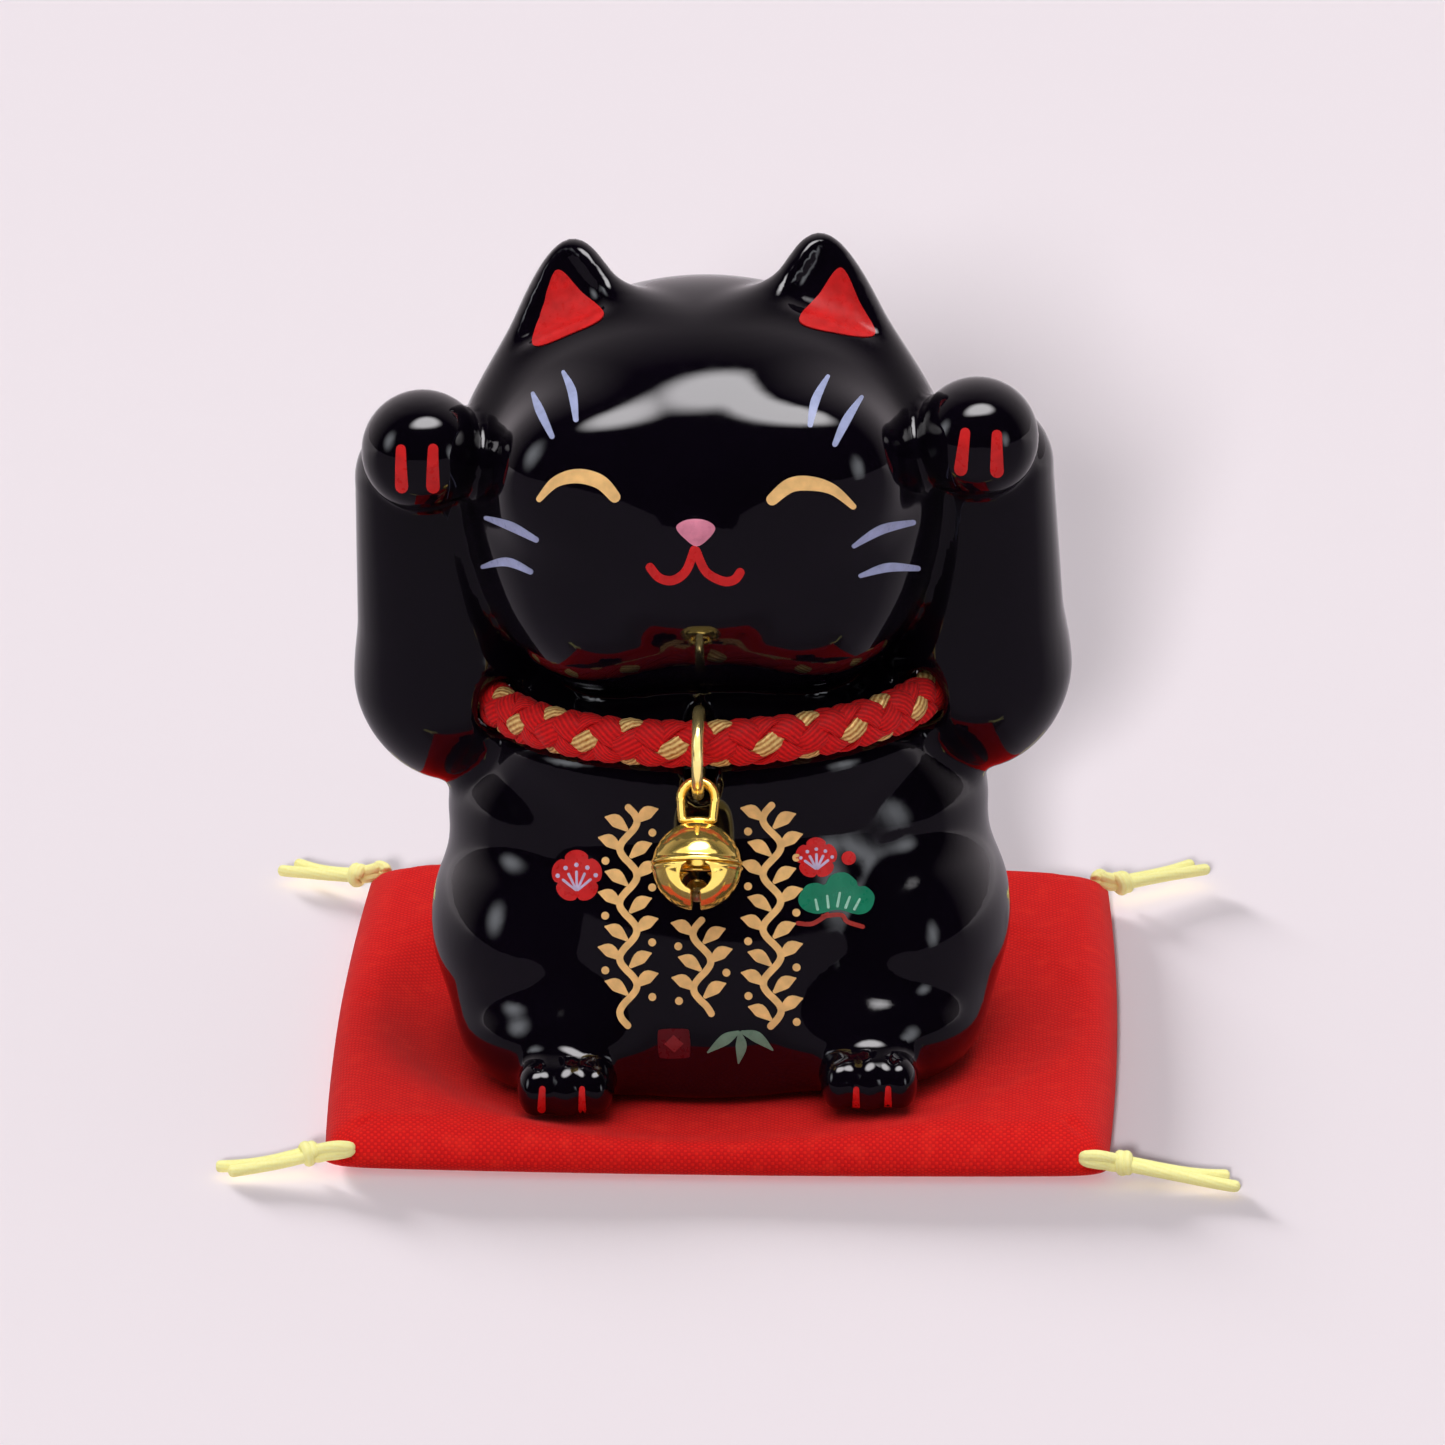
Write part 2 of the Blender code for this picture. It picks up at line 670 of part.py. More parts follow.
def add_bell_shells(collection, cutters, swing, brass):
    """Two pressed half shells that meet in a rolled seam; the lower one has the sound slit."""
    centre = shift(0, 0, -bell_centre_drop())
    seam = math.pi / 2
    lip = BELL_RADIUS + BELL_LIP
    inner = BELL_RADIUS - BELL_WALL
    upper = arc_points(BELL_RADIUS, 0, seam)[:-1]
    upper += [(BELL_RADIUS, GAP / 2 + 0.4), (lip, GAP / 2 + 0.4), (lip, GAP / 2)]
    upper += [(inner, GAP / 2)] + arc_points(inner, 0, seam)[:-1][::-1]
    turned("bell_upper_shell", upper, 24, collection, brass, swing, centre)
    lower = [(lip, -GAP / 2), (lip, -GAP / 2 - 0.3), (BELL_RADIUS, -GAP / 2 - 0.3)]
    lower += arc_points(BELL_RADIUS, seam, math.pi)[1:]
    lower += arc_points(inner, seam, math.pi)[1:][::-1] + [(inner, -GAP / 2)]
    shell = turned("bell_lower_shell", lower, 24, collection, brass, swing, centre)
    slit_reach = BELL_RADIUS * math.cos(HOLE_DROP)
    slit = box((2 * slit_reach, SLIT_WIDTH, BELL_RADIUS), (0, 0, -BELL_RADIUS * 0.95))
    across = centre @ Matrix.Rotation(math.pi / 2, 4, "Z")
    cut_by(shell, add_object("slit", slit, cutters, None, swing, across), "slit")
    for side, name in ((-1, "front_hole"), (1, "back_hole")):
        rod = cylinder(HOLE_RADIUS, 6)
        aim = Matrix.Rotation(side * (math.pi / 2 - HOLE_DROP) + math.pi, 4, "X")
        place = centre @ aim @ shift(0, 0, BELL_RADIUS)
        cut_by(shell, add_object(name, rod, cutters, None, swing, place), name)


def arc_points(radius, start, end, count=7):
    """Points of (radius, height) down an arc between two angles from the top."""
    points = []
    for step in range(count):
        angle = start + (end - start) * step / (count - 1)
        points.append((radius * math.sin(angle), radius * math.cos(angle)))
    return [(0.0 if abs(x) < 1e-6 else x, z) for x, z in points]


def box(size, centre):
    work = bmesh.new()
    bmesh.ops.create_cube(work, size=1)
    scale = Matrix.Diagonal((*(Vector(size) * MM), 1))
    bmesh.ops.transform(work, matrix=shift(*centre) @ scale, verts=work.verts)
    mesh = bpy.data.meshes.new("box")
    work.to_mesh(mesh)
    work.free()
    return mesh


def cylinder(radius, height, segments=20):
    work = bmesh.new()
    bmesh.ops.create_cone(
        work,
        cap_ends=True,
        segments=segments,
        radius1=radius * MM,
        radius2=radius * MM,
        depth=height * MM,
    )
    mesh = bpy.data.meshes.new("rod")
    work.to_mesh(mesh)
    work.free()
    return mesh


def add_bell_eye(collection, swing, brass):
    """A strip bent to a loop that stands on the upper shell, with the ring's wire through it."""
    foot = -bell_centre_drop() + BELL_RADIUS + GAP
    top = EYE_STRIP / 2 + RING_WIRE / 2 + GAP
    half = (EYE_WIDTH - EYE_STRIP) / 2
    path = [(-half * 0.62, 0, foot + 0.25)]
    for step in range(11):
        angle = math.pi * step / 10
        path.append((-half * 0.82 * math.cos(angle), 0, top - half * 0.82 * (1 - math.sin(angle))))
    path.append((half * 0.62, 0, foot + 0.25))
    loop = cord_tube(path, EYE_STRIP)
    base = ball((0, 0, foot + 0.3), (half, EYE_DEPTH / 2, 0.32))
    mesh = fused("eye", [loop, base], 0.22, 0.2)
    add_object("bell_hanger_eye", mesh, collection, brass, swing)


def add_pellet(collection, swing):
    """A loose steel ball at the lowest place inside the bell, straight below its centre."""
    steel = finish_material("steel", (0.5, 0.5, 0.5), 0.3, 1.0)
    bpy.context.view_layer.update()
    centre = swing.matrix_world @ (Vector((0, 0, -bell_centre_drop())) * MM)
    drop = BELL_RADIUS - BELL_WALL - PELLET_RADIUS - GAP
    rest = Matrix.Translation(centre) @ shift(0, 0, -drop)
    mesh = ball((0, 0, 0), (PELLET_RADIUS,) * 3)
    mesh.shade_smooth()
    add_object("bell_pellet", mesh, collection, steel, place=rest)


def main():
    clear_scene()
    collection = new_collection("beckoning_cat_figurine")
    cutters = new_collection("cutters")
    add_cushion(collection)
    add_ties(collection)
    lean = Matrix.Rotation(-LEAN, 4, "Y")
    cat = add_empty("cat_frame", collection, shift(0, CAT_Y, SEAT_Z) @ lean)
    add_cat_body(collection, cutters, cat)
    add_collar(collection, cat)
    bpy.context.view_layer.update()
    collar_front = cat.matrix_world @ (Vector((RING_SIDE, -COLLAR_HALF_Y, COLLAR_Z)) * MM)
    tilt = Matrix.Rotation(-HANG_TILT, 4, "X")
    hang = add_empty("ring_axis", collection, Matrix.Translation(collar_front) @ tilt)
    brass = finish_material("bright_brass", (0.9, 0.62, 0.2), 0.16, 1.0)
    add_jump_ring(collection, hang, brass)
    swing = add_empty("bell_axis", collection, shift(0, 0, -RING_DROP - RING_MEAN_RADIUS), hang)
    add_bell_shells(collection, cutters, swing, brass)
    add_bell_eye(collection, swing, brass)
    add_pellet(collection, swing)


main()
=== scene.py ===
import json
import math

import bpy
import numpy as np
from mathutils import Matrix, Vector
from mathutils.bvhtree import BVHTree
from mathutils.geometry import delaunay_2d_cdt


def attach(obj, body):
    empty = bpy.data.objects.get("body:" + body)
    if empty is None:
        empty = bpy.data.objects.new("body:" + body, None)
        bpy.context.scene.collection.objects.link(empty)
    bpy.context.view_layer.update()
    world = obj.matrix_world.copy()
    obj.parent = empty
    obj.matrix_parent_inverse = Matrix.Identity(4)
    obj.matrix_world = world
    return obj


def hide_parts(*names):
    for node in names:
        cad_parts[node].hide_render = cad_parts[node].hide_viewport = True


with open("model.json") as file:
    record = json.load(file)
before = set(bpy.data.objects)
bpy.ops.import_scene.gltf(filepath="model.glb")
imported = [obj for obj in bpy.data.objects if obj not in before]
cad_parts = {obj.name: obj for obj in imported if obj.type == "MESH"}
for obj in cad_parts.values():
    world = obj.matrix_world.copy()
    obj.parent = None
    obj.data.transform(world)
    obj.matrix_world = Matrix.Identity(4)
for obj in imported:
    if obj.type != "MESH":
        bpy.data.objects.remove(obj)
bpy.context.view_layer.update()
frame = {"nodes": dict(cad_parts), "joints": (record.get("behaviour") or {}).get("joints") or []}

# The beckoning cat figurine: a glazed cat with painted marks and a braided collar with a bell, on a cushion.
# Dimensions are in millimetres and become metres through MM. The cat faces -Y.
MM = 0.001
JOINTS = {joint["name"]: joint for joint in frame["joints"]}

# Frames of the cat, of the jump ring and of the bell
LEAN = math.radians(2.0)
CAT_FRAME = Matrix.Translation(Vector((0, -7.2, 4.4)) * MM) @ Matrix.Rotation(-LEAN, 4, "Y")
HANG_TURN = Matrix.Rotation(-math.radians(28.5), 4, "X")
RING_FRAME = Matrix.Translation(JOINTS["ring_swing"]["pos_m"]) @ HANG_TURN
BELL_FRAME = Matrix.Translation(JOINTS["bell_swing"]["pos_m"]) @ HANG_TURN


# ---------------- the cat's blended form

# centre, half sizes, width of the blend into what comes before it, mirrored across X
BODY_MASSES = (
    ((0, 4, 12), (29.5, 30, 36), 0, False),  # torso
    ((0, 5, 9), (31.5, 30.5, 17), 3, False),  # seat
    ((16, -9, 6), (14.5, 17.5, 10), 3, True),  # hip base
    ((0, 1, 36), (27, 22.5, 14), 4, False),  # chest
    ((15.5, 2, 27), (15.5, 18, 14), 2.5, True),  # flank
    ((30, 1, 43.5), (10.6, 11.5, 12.5), 2.5, True),  # elbow
    ((24, 4, 53), (8, 9.5, 17), 3, True),  # web of clay between arm and head
    ((20, -2, 14.5), (13.3, 19.5, 14.5), 2.4, True),  # haunch
    ((17.2, -24, 3.2), (5.4, 6.2, 4.6), 1.4, True),  # foot
    ((13.8, -27.4, 3.2), (2.1, 3.2, 3.2), 0.8, True),  # toes
    ((17.2, -27.6, 3.2), (2.1, 3.2, 3.2), 0.8, True),
    ((20.6, -27.4, 3.2), (2.1, 3.2, 3.2), 0.8, True),
)
# start, end, radius at each, blend
FOREARM = ((30.5, -0.5, 44), (32, -3.5, 68.5), 10.0, 7.6, 2.0)
# centre, half sizes, blend
PAW = ((31.2, -11.5, 74.4), (6.9, 6.9, 6.9), 1.8)
HEAD_MASSES = (
    ((0, -4, 67.3), (28, 24, 23.5), 0, False),  # skull
    ((11, -6, 58.5), (13.5, 18, 14), 3, True),  # cheek
    ((12.8, -18.6, 73.5), (9, 6.6, 8.2), 5, True),  # closed eye
    ((0, -19.8, 64), (12, 7.5, 8.5), 3, False),  # muzzle
    ((0, -27.4, 70), (2, 1.3, 1.4), 1.2, False),  # nose
)
HEAD_BLEND = 1.6
TAIL = ((0, 30, 5), (10, 32, 9), (16, 27, 14))
TAIL_RADII = (5.2, 4.4, 3.8)
TAIL_BLEND = 1.5
BASE_ROUND = 1.2
CAVITY_MASSES = (
    ((0, 4, 14), (24.5, 24.5, 27.5), 0, False),
    ((0, -1, 40), (15, 12, 16), 4, False),
    ((0, -3, 66), (22, 18.5, 18), 4, False),
)
CAVITY_FLOOR = 3.2
CAVITY_ROUND = 2
DRAIN_RADIUS = 5.0
DRAIN_Y = 2
COLLAR_HALF_X = 25.9
COLLAR_HALF_Y = 22.0
COLLAR_Z = 42.4
BRAID_THICK = 4.4
BRAID_WIDE = 5.3
CHANNEL_GAP = 0.45
CHANNEL_ROUND = 1.4

# Hollows for the jump ring and for the collar's knot: centre, half sizes, rounding of the edge
HOLLOWS = (
    ((-0.9, -COLLAR_HALF_Y, COLLAR_Z), (2.2, 7.2, 7.2), 0.5),
    ((0, COLLAR_HALF_Y, COLLAR_Z), (5.6, 4.2, 4.6), 0.8),
)

# Right ear: a rounded three-sided pyramid with a shallow dish in front
EAR_TIP = (15.2, -1, 103.5)
EAR_INNER = (2, -10.5, 88)
EAR_OUTER = (28, -8.5, 78)
EAR_BACK = (15, 12, 80)
EAR_ROOT_Z = 76
EAR_RIM = 3.4
EAR_DISH = 1.5
EAR_BLEND = 3.2
EAR_INNER_ROUND = 6
EAR_OUTER_ROUND = 7
EAR_ROOT_ROUND = 1
DISH_SIDE_ROUND = 2.5
DISH_BROW_ROUND = 2
DISH_FLOOR_ROUND = 0.8
DISH_LIP_ROUND = 0.9


def ellipsoid(points, centre, radii):
    """Distance to an ellipsoid, negative inside."""
    scaled = (points - np.array(centre)) / np.array(radii)
    near = np.linalg.norm(scaled, axis=1)
    steep = np.linalg.norm(scaled / np.array(radii), axis=1)
    return near * (near - 1) / np.maximum(steep, 1e-9)


def limb(points, start, end, start_radius, end_radius):
    """Distance to a tapered rod with round ends."""
    start = np.array(start, float)
    along = np.array(end, float) - start
    share = np.clip((points - start) @ along / (along @ along), 0, 1)
    radius = start_radius + (end_radius - start_radius) * share
    return np.linalg.norm(points - start - share[:, None] * along, axis=1) - radius


def merge(first, second, width):
    """Union of two forms with a fillet of the given width."""
    share = np.clip(0.5 + 0.5 * (second - first) / width, 0, 1)
    return second + (first - second) * share - width * share * (1 - share)


def overlap(first, second, width):
    """What two forms share, with a rounded edge."""
    return -merge(-first, -second, width)


def carve(form, tool, width):
    """The form with the tool taken away, with a rounded edge."""
    return overlap(form, -tool, width)


def outside(points, corners, inner_point):
    """Distance past the plane through three corners, positive on the side away from inner_point."""
    first, second, third = (np.array(corner, float) for corner in corners)
    normal = np.cross(second - first, third - first)
    normal = normal / np.linalg.norm(normal)
    if (np.array(inner_point) - first) @ normal > 0:
        normal = -normal
    return (points - first) @ normal


def ear(points):
    """The right ear: a rounded pyramid less its dish."""
    middle = np.mean([EAR_TIP, EAR_INNER, EAR_OUTER, EAR_BACK], axis=0)
    front = outside(points, (EAR_TIP, EAR_OUTER, EAR_INNER), middle)
    inner = outside(points, (EAR_TIP, EAR_INNER, EAR_BACK), middle)
    outer = outside(points, (EAR_TIP, EAR_BACK, EAR_OUTER), middle)
    brow = outside(points, (EAR_INNER, EAR_OUTER, (EAR_BACK[0], 5, EAR_ROOT_Z)), middle)
    pyramid = overlap(overlap(front, inner, EAR_INNER_ROUND), outer, EAR_OUTER_ROUND)
    pyramid = overlap(pyramid, EAR_ROOT_Z - points[:, 2], EAR_ROOT_ROUND)
    dish = overlap(inner + EAR_RIM, outer + EAR_RIM, DISH_SIDE_ROUND)
    dish = overlap(dish, brow + EAR_RIM, DISH_BROW_ROUND)
    dish = overlap(dish, -(front + EAR_DISH), DISH_FLOOR_ROUND)
    return carve(pyramid, dish, DISH_LIP_ROUND)


def collar_channel(points):
    """Distance to the elliptical ring that the braid lies in, with a gap round the braid."""
    x, y, z = points.T
    reach = np.hypot(x / COLLAR_HALF_X, y / COLLAR_HALF_Y)
    slope = np.hypot(x / COLLAR_HALF_X**2, y / COLLAR_HALF_Y**2) / np.maximum(reach, 1e-9)
    across = (reach - 1) / np.maximum(slope, 1e-9)
    section = np.stack([across, z - COLLAR_Z, 0 * z], 1)
    half_thick, half_wide = BRAID_THICK / 2 + CHANNEL_GAP, BRAID_WIDE / 2 + CHANNEL_GAP
    return ellipsoid(section, (0, 0, 0), (half_thick, half_wide, 1000))


def gathered(points, mirrored_points, masses):
    """A table of ellipsoids blended into one form."""
    form = None
    for centre, radii, blend, is_pair in masses:
        mass = ellipsoid(mirrored_points if is_pair else points, centre, radii)
        form = mass if form is None else merge(form, mass, blend)
    return form


def cat_form(points):
    """The outer skin of the cat: negative inside the clay."""
    mirrored = points.copy()
    mirrored[:, 0] = np.abs(points[:, 0])
    form = gathered(points, mirrored, BODY_MASSES)
    form = merge(form, limb(mirrored, *FOREARM[:4]), FOREARM[4])
    form = merge(form, ellipsoid(mirrored, *PAW[:2]), PAW[2])
    head = gathered(points, mirrored, HEAD_MASSES)
    head = merge(head, ear(mirrored), EAR_BLEND)
    form = merge(form, head, HEAD_BLEND)
    for index in range(2):
        piece = limb(points, *TAIL[index : index + 2], *TAIL_RADII[index : index + 2])
        form = merge(form, piece, TAIL_BLEND)
    form = carve(form, collar_channel(points), CHANNEL_ROUND)
    for centre, radii, rounding in HOLLOWS:
        form = carve(form, ellipsoid(points, centre, radii), rounding)
    return overlap(form, -points[:, 2], BASE_ROUND)


def hollow_cat_form(points):
    """The cat's wall: the outer skin less the cast cavity and the drain hole under it."""
    cavity = gathered(points, points, CAVITY_MASSES)
    cavity = overlap(cavity, CAVITY_FLOOR - points[:, 2], CAVITY_ROUND)
    drain = np.hypot(points[:, 0], points[:, 1] - DRAIN_Y) - DRAIN_RADIUS
    drain = overlap(drain, points[:, 2] - 2 * CAVITY_FLOOR, 0.5)
    return carve(cat_form(points), merge(cavity, drain, 0.6), 0.4)


def in_blocks(form, points, block=60000):
    """The form at many points, a block at a time."""
    return np.concatenate([form(points[i : i + block]) for i in range(0, len(points), block)])


def surface_net(form, low, high, step):
    """Points and four-sided faces of the surface where a form is zero, on a regular grid."""
    ticks = [np.arange(low[axis], high[axis] + step, step) for axis in range(3)]
    grid = np.stack(np.meshgrid(*ticks, indexing="ij"), -1)
    values = in_blocks(form, grid.reshape(-1, 3)).reshape(grid.shape[:3])
    while True:
        points, faces = net_faces(values)
        edges = np.concatenate([faces[:, [side, (side + 1) % 4]] for side in range(4)])
        edges, uses = np.unique(np.sort(edges, axis=1), axis=0, return_counts=True)
        pinched = points[edges[uses > 2]].mean(1)
        if not len(pinched):
            points = settled(form, np.array(low) + points * step)
            return points, faces
        for place in pinched:
            around = tuple(slice(int(c), int(c) + 2) for c in place)
            values[around] = np.minimum(values[around], -0.05 * step)


def net_faces(values):
    """A point in each crossed cell, in grid units, and a face round each crossed edge."""
    cells = tuple(count - 1 for count in values.shape)

    def corner(array, shift):
        return array[tuple(slice(shift[axis], shift[axis] + cells[axis]) for axis in range(3))]

    total = np.zeros(cells + (3,))
    crossings = np.zeros(cells)
    for shift in np.ndindex(2, 2, 2):
        for axis in range(3):
            if shift[axis]:
                continue
            far_shift = tuple(1 if other == axis else shift[other] for other in range(3))
            near, far = corner(values, shift), corner(values, far_shift)
            crosses = (near < 0) != (far < 0)
            place = np.zeros(cells + (3,)) + np.array(shift)
            place[..., axis] = np.where(crosses, near / np.where(crosses, near - far, 1), 0)
            total += place * crosses[..., None]
            crossings += crosses
    active = crossings > 0
    index = np.full(cells, -1)
    index[active] = np.arange(active.sum())
    points = np.stack(np.nonzero(active), 1) + total[active] / crossings[active][:, None]

    faces = []
    inside = values < 0
    for axis in range(3):
        beside, above = (axis + 1) % 3, (axis + 2) % 3
        near = np.take(inside, range(inside.shape[axis] - 1), axis)
        far = np.take(inside, range(1, inside.shape[axis]), axis)
        edge = np.stack(np.nonzero(near != far), 1)
        around = []
        for back_beside, back_above in ((1, 1), (0, 1), (0, 0), (1, 0)):
            cell = edge.copy()
            cell[:, beside] -= back_beside
            cell[:, above] -= back_above
            around.append(index[tuple(cell.T)])
        quads = np.stack(around, 1)
        faces_back = ~near[tuple(edge.T)]
        quads[faces_back] = quads[faces_back][:, ::-1]
        faces.append(quads)
    return points, np.concatenate(faces)


def slope_of(form, points, reach=0.02):
    """How fast the form grows along each axis."""
    slope = np.empty_like(points)
    for axis in range(3):
        nudge = np.zeros(3)
        nudge[axis] = reach
        slope[:, axis] = (form(points + nudge) - form(points - nudge)) / (2 * reach)
    return slope


def settled(form, points, rounds=3):
    """Points moved onto the form's surface along its slope."""
    for _ in range(rounds):
        slope = slope_of(form, points)
        steepness = np.maximum((slope**2).sum(1), 0.05)
        points = points - (form(points) / steepness)[:, None] * slope
    return points


# ---------------- pieces and finishes


def add_object(name, data):
    item = bpy.data.objects.new(name, data)
    bpy.context.scene.collection.objects.link(item)
    return item


def new_piece(name, points, faces, place, body, material=None, smooth_angle=None, uv=None):
    """A mesh from points in millimetres in the frame `place`, riding on a body.

    `uv` gives the piece's own surface coordinates in millimetres, one pair for each face corner.
    """
    mesh = bpy.data.meshes.new(name)
    mesh.from_pydata((np.asarray(points) * MM).tolist(), [], [tuple(face) for face in faces])
    mesh.transform(place)
    mesh.update()
    mesh.shade_smooth()
    if smooth_angle:
        mesh.set_sharp_from_angle(angle=math.radians(smooth_angle))
    if uv is not None:
        layer = mesh.uv_layers.new(name="surface_mm")
        layer.data.foreach_set("uv", np.asarray(uv, np.float32).ravel())
    if material:
        mesh.materials.append(material)
    piece = add_object(name, mesh)
    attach(piece, body)
    return piece


class Nodes:
    """A node tree being filled: nodes are added by kind, and their inputs take sockets or values."""

    def __init__(self, tree):
        self.tree = tree

    def feed(self, node, sockets):
        for socket, value in sockets.items():
            if isinstance(value, bpy.types.NodeSocket):
                self.tree.links.new(value, node.inputs[socket])
            else:
                node.inputs[socket].default_value = value

    def add(self, kind, sockets=None, **settings):
        node = self.tree.nodes.new("ShaderNode" + kind)
        for setting, value in settings.items():
            setattr(node, setting, value)
        self.feed(node, sockets or {})
        return node

    def math(self, operation, first, second=0.0):
        return self.add("Math", {0: first, 1: second}, operation=operation).outputs[0]

    def between(self, source, low, high, start=0.3, end=0.7, **settings):
        """A number that goes from low to high as the source goes from start to end."""
        sockets = {"Value": source, "From Min": start, "From Max": end, "To Min": low, "To Max": high}
        return self.add("MapRange", sockets, **settings).outputs["Result"]

    def blend_colours(self, share, first, second):
        mix = self.add("Mix", {"Factor": share}, data_type="RGBA")
        for socket, colour in ((6, first), (7, second)):
            is_source = isinstance(colour, bpy.types.NodeSocket)
            self.feed(mix, {socket: colour if is_source else (*colour, 1)})
        return mix.outputs[2]


class Finish(Nodes):
    """The node material of a piece."""

    def __init__(self, name, **constants):
        self.material = bpy.data.materials.new(name)
        self.material.use_nodes = True
        super().__init__(self.material.node_tree)
        self.drive(**constants)
        self.place = self.add("TexCoord").outputs["Object"]

    def drive(self, **inputs):
        """Gives the shader's inputs their sources or constants, and gives back the material."""
        for name, value in inputs.items():
            self.feed(self.tree.nodes["Principled BSDF"], {name.replace("_", " "): value})
        return self.material

    def noise(self, size_mm, detail, uv=None):
        """A cloudy pattern with features about size_mm across, in space or on the piece's surface."""
        if uv is None:
            sockets = {"Vector": self.place, "Scale": 1 / (size_mm * MM), "Detail": detail}
        else:
            sockets = {"Vector": uv, "Scale": 1 / size_mm, "Detail": detail}
        return self.add("TexNoise", sockets).outputs["Fac"]

    def bump(self, height, depth_mm, strength=1.0, under=None):
        sockets = {"Height": height, "Distance": depth_mm * MM, "Strength": strength}
        if under is not None:
            sockets["Normal"] = under
        return self.add("Bump", sockets).outputs["Normal"]

    def surface(self):
        """The piece's own surface coordinates: both, along U, along V."""
        uv = self.add("UVMap", uv_map="surface_mm").outputs["UV"]
        split = self.add("SeparateXYZ", {"Vector": uv})
        return uv, split.outputs["X"], split.outputs["Y"]


def linear(red, green, blue):
    """A colour given as 0 to 255 on screen, as light."""
    return tuple(
        c / 12.92 if c <= 0.04045 else ((c + 0.055) / 1.055) ** 2.4
        for c in (red / 255, green / 255, blue / 255)
    )


GLAZE_DEEP = (0.0012, 0.0008, 0.0018)
GLAZE_CLOUD = (0.0038, 0.0022, 0.0056)


def glaze_finish():
    """Deep black glaze: a clear gloss with slow waves and fine orange peel."""
    finish = Finish("glaze", IOR=1.5, Specular_IOR_Level=0.5)
    colour = finish.blend_colours(finish.noise(16, 3), GLAZE_DEEP, GLAZE_CLOUD)
    rough = finish.between(finish.noise(1.6, 4), 0.03, 0.075)
    waves = finish.bump(finish.noise(9, 2), 0.05, 0.35)
    normal = finish.bump(finish.noise(0.5, 2), 0.0015, 0.3, waves)
    return finish.drive(Base_Color=colour, Roughness=rough, Normal=normal)


ENAMEL_THIN = 0.84
ENAMEL_THICK = 1.096


def enamel_finish(name, colour, rough):
    """Brushed ceramic enamel: the colour thins and thickens a little."""
    finish = Finish(name, IOR=1.5, Specular_IOR_Level=0.25)
    thin = tuple(c * ENAMEL_THIN for c in colour)
    thick = tuple(min(1, c * ENAMEL_THICK) for c in colour)
    brushed = finish.noise(1.4, 3)
    shade = finish.blend_colours(finish.between(brushed, 0, 1), thin, thick)
    roughness = finish.between(finish.noise(0.8, 3), rough * 0.8, rough * 1.3)
    normal = finish.bump(brushed, 0.02, 0.3)
    return finish.drive(Base_Color=shade, Roughness=roughness, Normal=normal)


def thread_finish(name, dark, bright, metallic=0.0, rough=0.7, threads_mm=0.42, skew=0.16, ridge=0.25):
    """Twisted thread: ridges threads_mm apart run along each strand and, by skew, a little across it."""
    finish = Finish(name, Metallic=metallic, Sheen_Weight=0.04, Specular_IOR_Level=0.15)
    uv, along, across = finish.surface()
    lean = finish.math("MULTIPLY", along, skew)
    turned = finish.math("ADD", finish.math("DIVIDE", across, threads_mm), lean)
    wave = finish.math("SINE", finish.math("MULTIPLY", turned, 2 * math.pi))
    fibre = finish.noise(0.35, 3, uv)
    height = finish.math("ADD", finish.math("MULTIPLY", wave, ridge), fibre)
    # Painted shade: the colour goes from dark down in the grooves between ridges to bright on the ridge
    # tops, and the fibre noise adds tone at random
    shade = finish.blend_colours(finish.between(height, 0, 1, 0.05, 1.0), dark, bright)
    roughness = finish.between(fibre, rough * 0.75, min(1, rough * 1.2))
    normal = finish.bump(height, 0.12, 0.6)
    return finish.drive(Base_Color=shade, Roughness=roughness, Normal=normal)


BRASS_WEAR = (0.93, 0.88, 0.72)


def brass_finish(name, colour, rough):
    """Bright plated brass with faint handling marks."""
    finish = Finish(name, Metallic=0.84)
    cloud = finish.noise(2.2, 4)
    worn = tuple(c * wear for c, wear in zip(colour, BRASS_WEAR))
    shade = finish.blend_colours(finish.between(cloud, 0, 1, 0.42, 0.75), colour, worn)
    roughness = finish.between(finish.noise(0.7, 4), rough * 0.7, rough * 1.7)
    dents = finish.bump(finish.noise(1.8, 2), 0.035, 0.35)
    normal = finish.bump(finish.noise(0.18, 2), 0.003, 0.3, dents)
    return finish.drive(Base_Color=shade, Roughness=roughness, Normal=normal)


WEAVE_MM = 0.4


def weave_finish():
    """Plain weave: each crossing shows a bump of warp or of weft."""
    finish = Finish("red_weave", Sheen_Weight=0.04, Sheen_Roughness=0.5, Specular_IOR_Level=0.08)
    uv, across, along = finish.surface()
    wobble = finish.math("MULTIPLY", finish.noise(6, 2, uv), 0.9)
    waves = []
    for place in (across, along):
        turned = finish.math("DIVIDE", finish.math("ADD", place, wobble), WEAVE_MM)
        waves.append(finish.math("SINE", finish.math("MULTIPLY", turned, math.pi)))
    crossing = finish.math("MULTIPLY", *waves)
    bumps = finish.math("POWER", finish.math("ABSOLUTE", crossing), 0.7)
    fibre = finish.noise(0.25, 3, uv)
    height = finish.math("ADD", bumps, finish.math("MULTIPLY", fibre, 0.35))
    warp = finish.between(crossing, 0, 1, -0.4, 0.4)
    yarn = finish.blend_colours(warp, linear(204, 17, 19), linear(226, 28, 22))
    # Painted shade: the yarn colour is darkened toward a deep red down in the grooves between the raised
    # crossings
    groove_shade = finish.between(height, 0.5, 0, 0.15, 0.75)
    shade = finish.blend_colours(groove_shade, yarn, linear(168, 9, 14))
    slub = finish.between(finish.noise(2.5, 4, uv), 0, 0.3, 0.5, 0.75)
    shade = finish.blend_colours(slub, shade, linear(240, 52, 34))
    roughness = finish.between(fibre, 0.68, 0.92)
    normal = finish.bump(height, 0.06, 0.5)
    return finish.drive(Base_Color=shade, Roughness=roughness, Normal=normal)


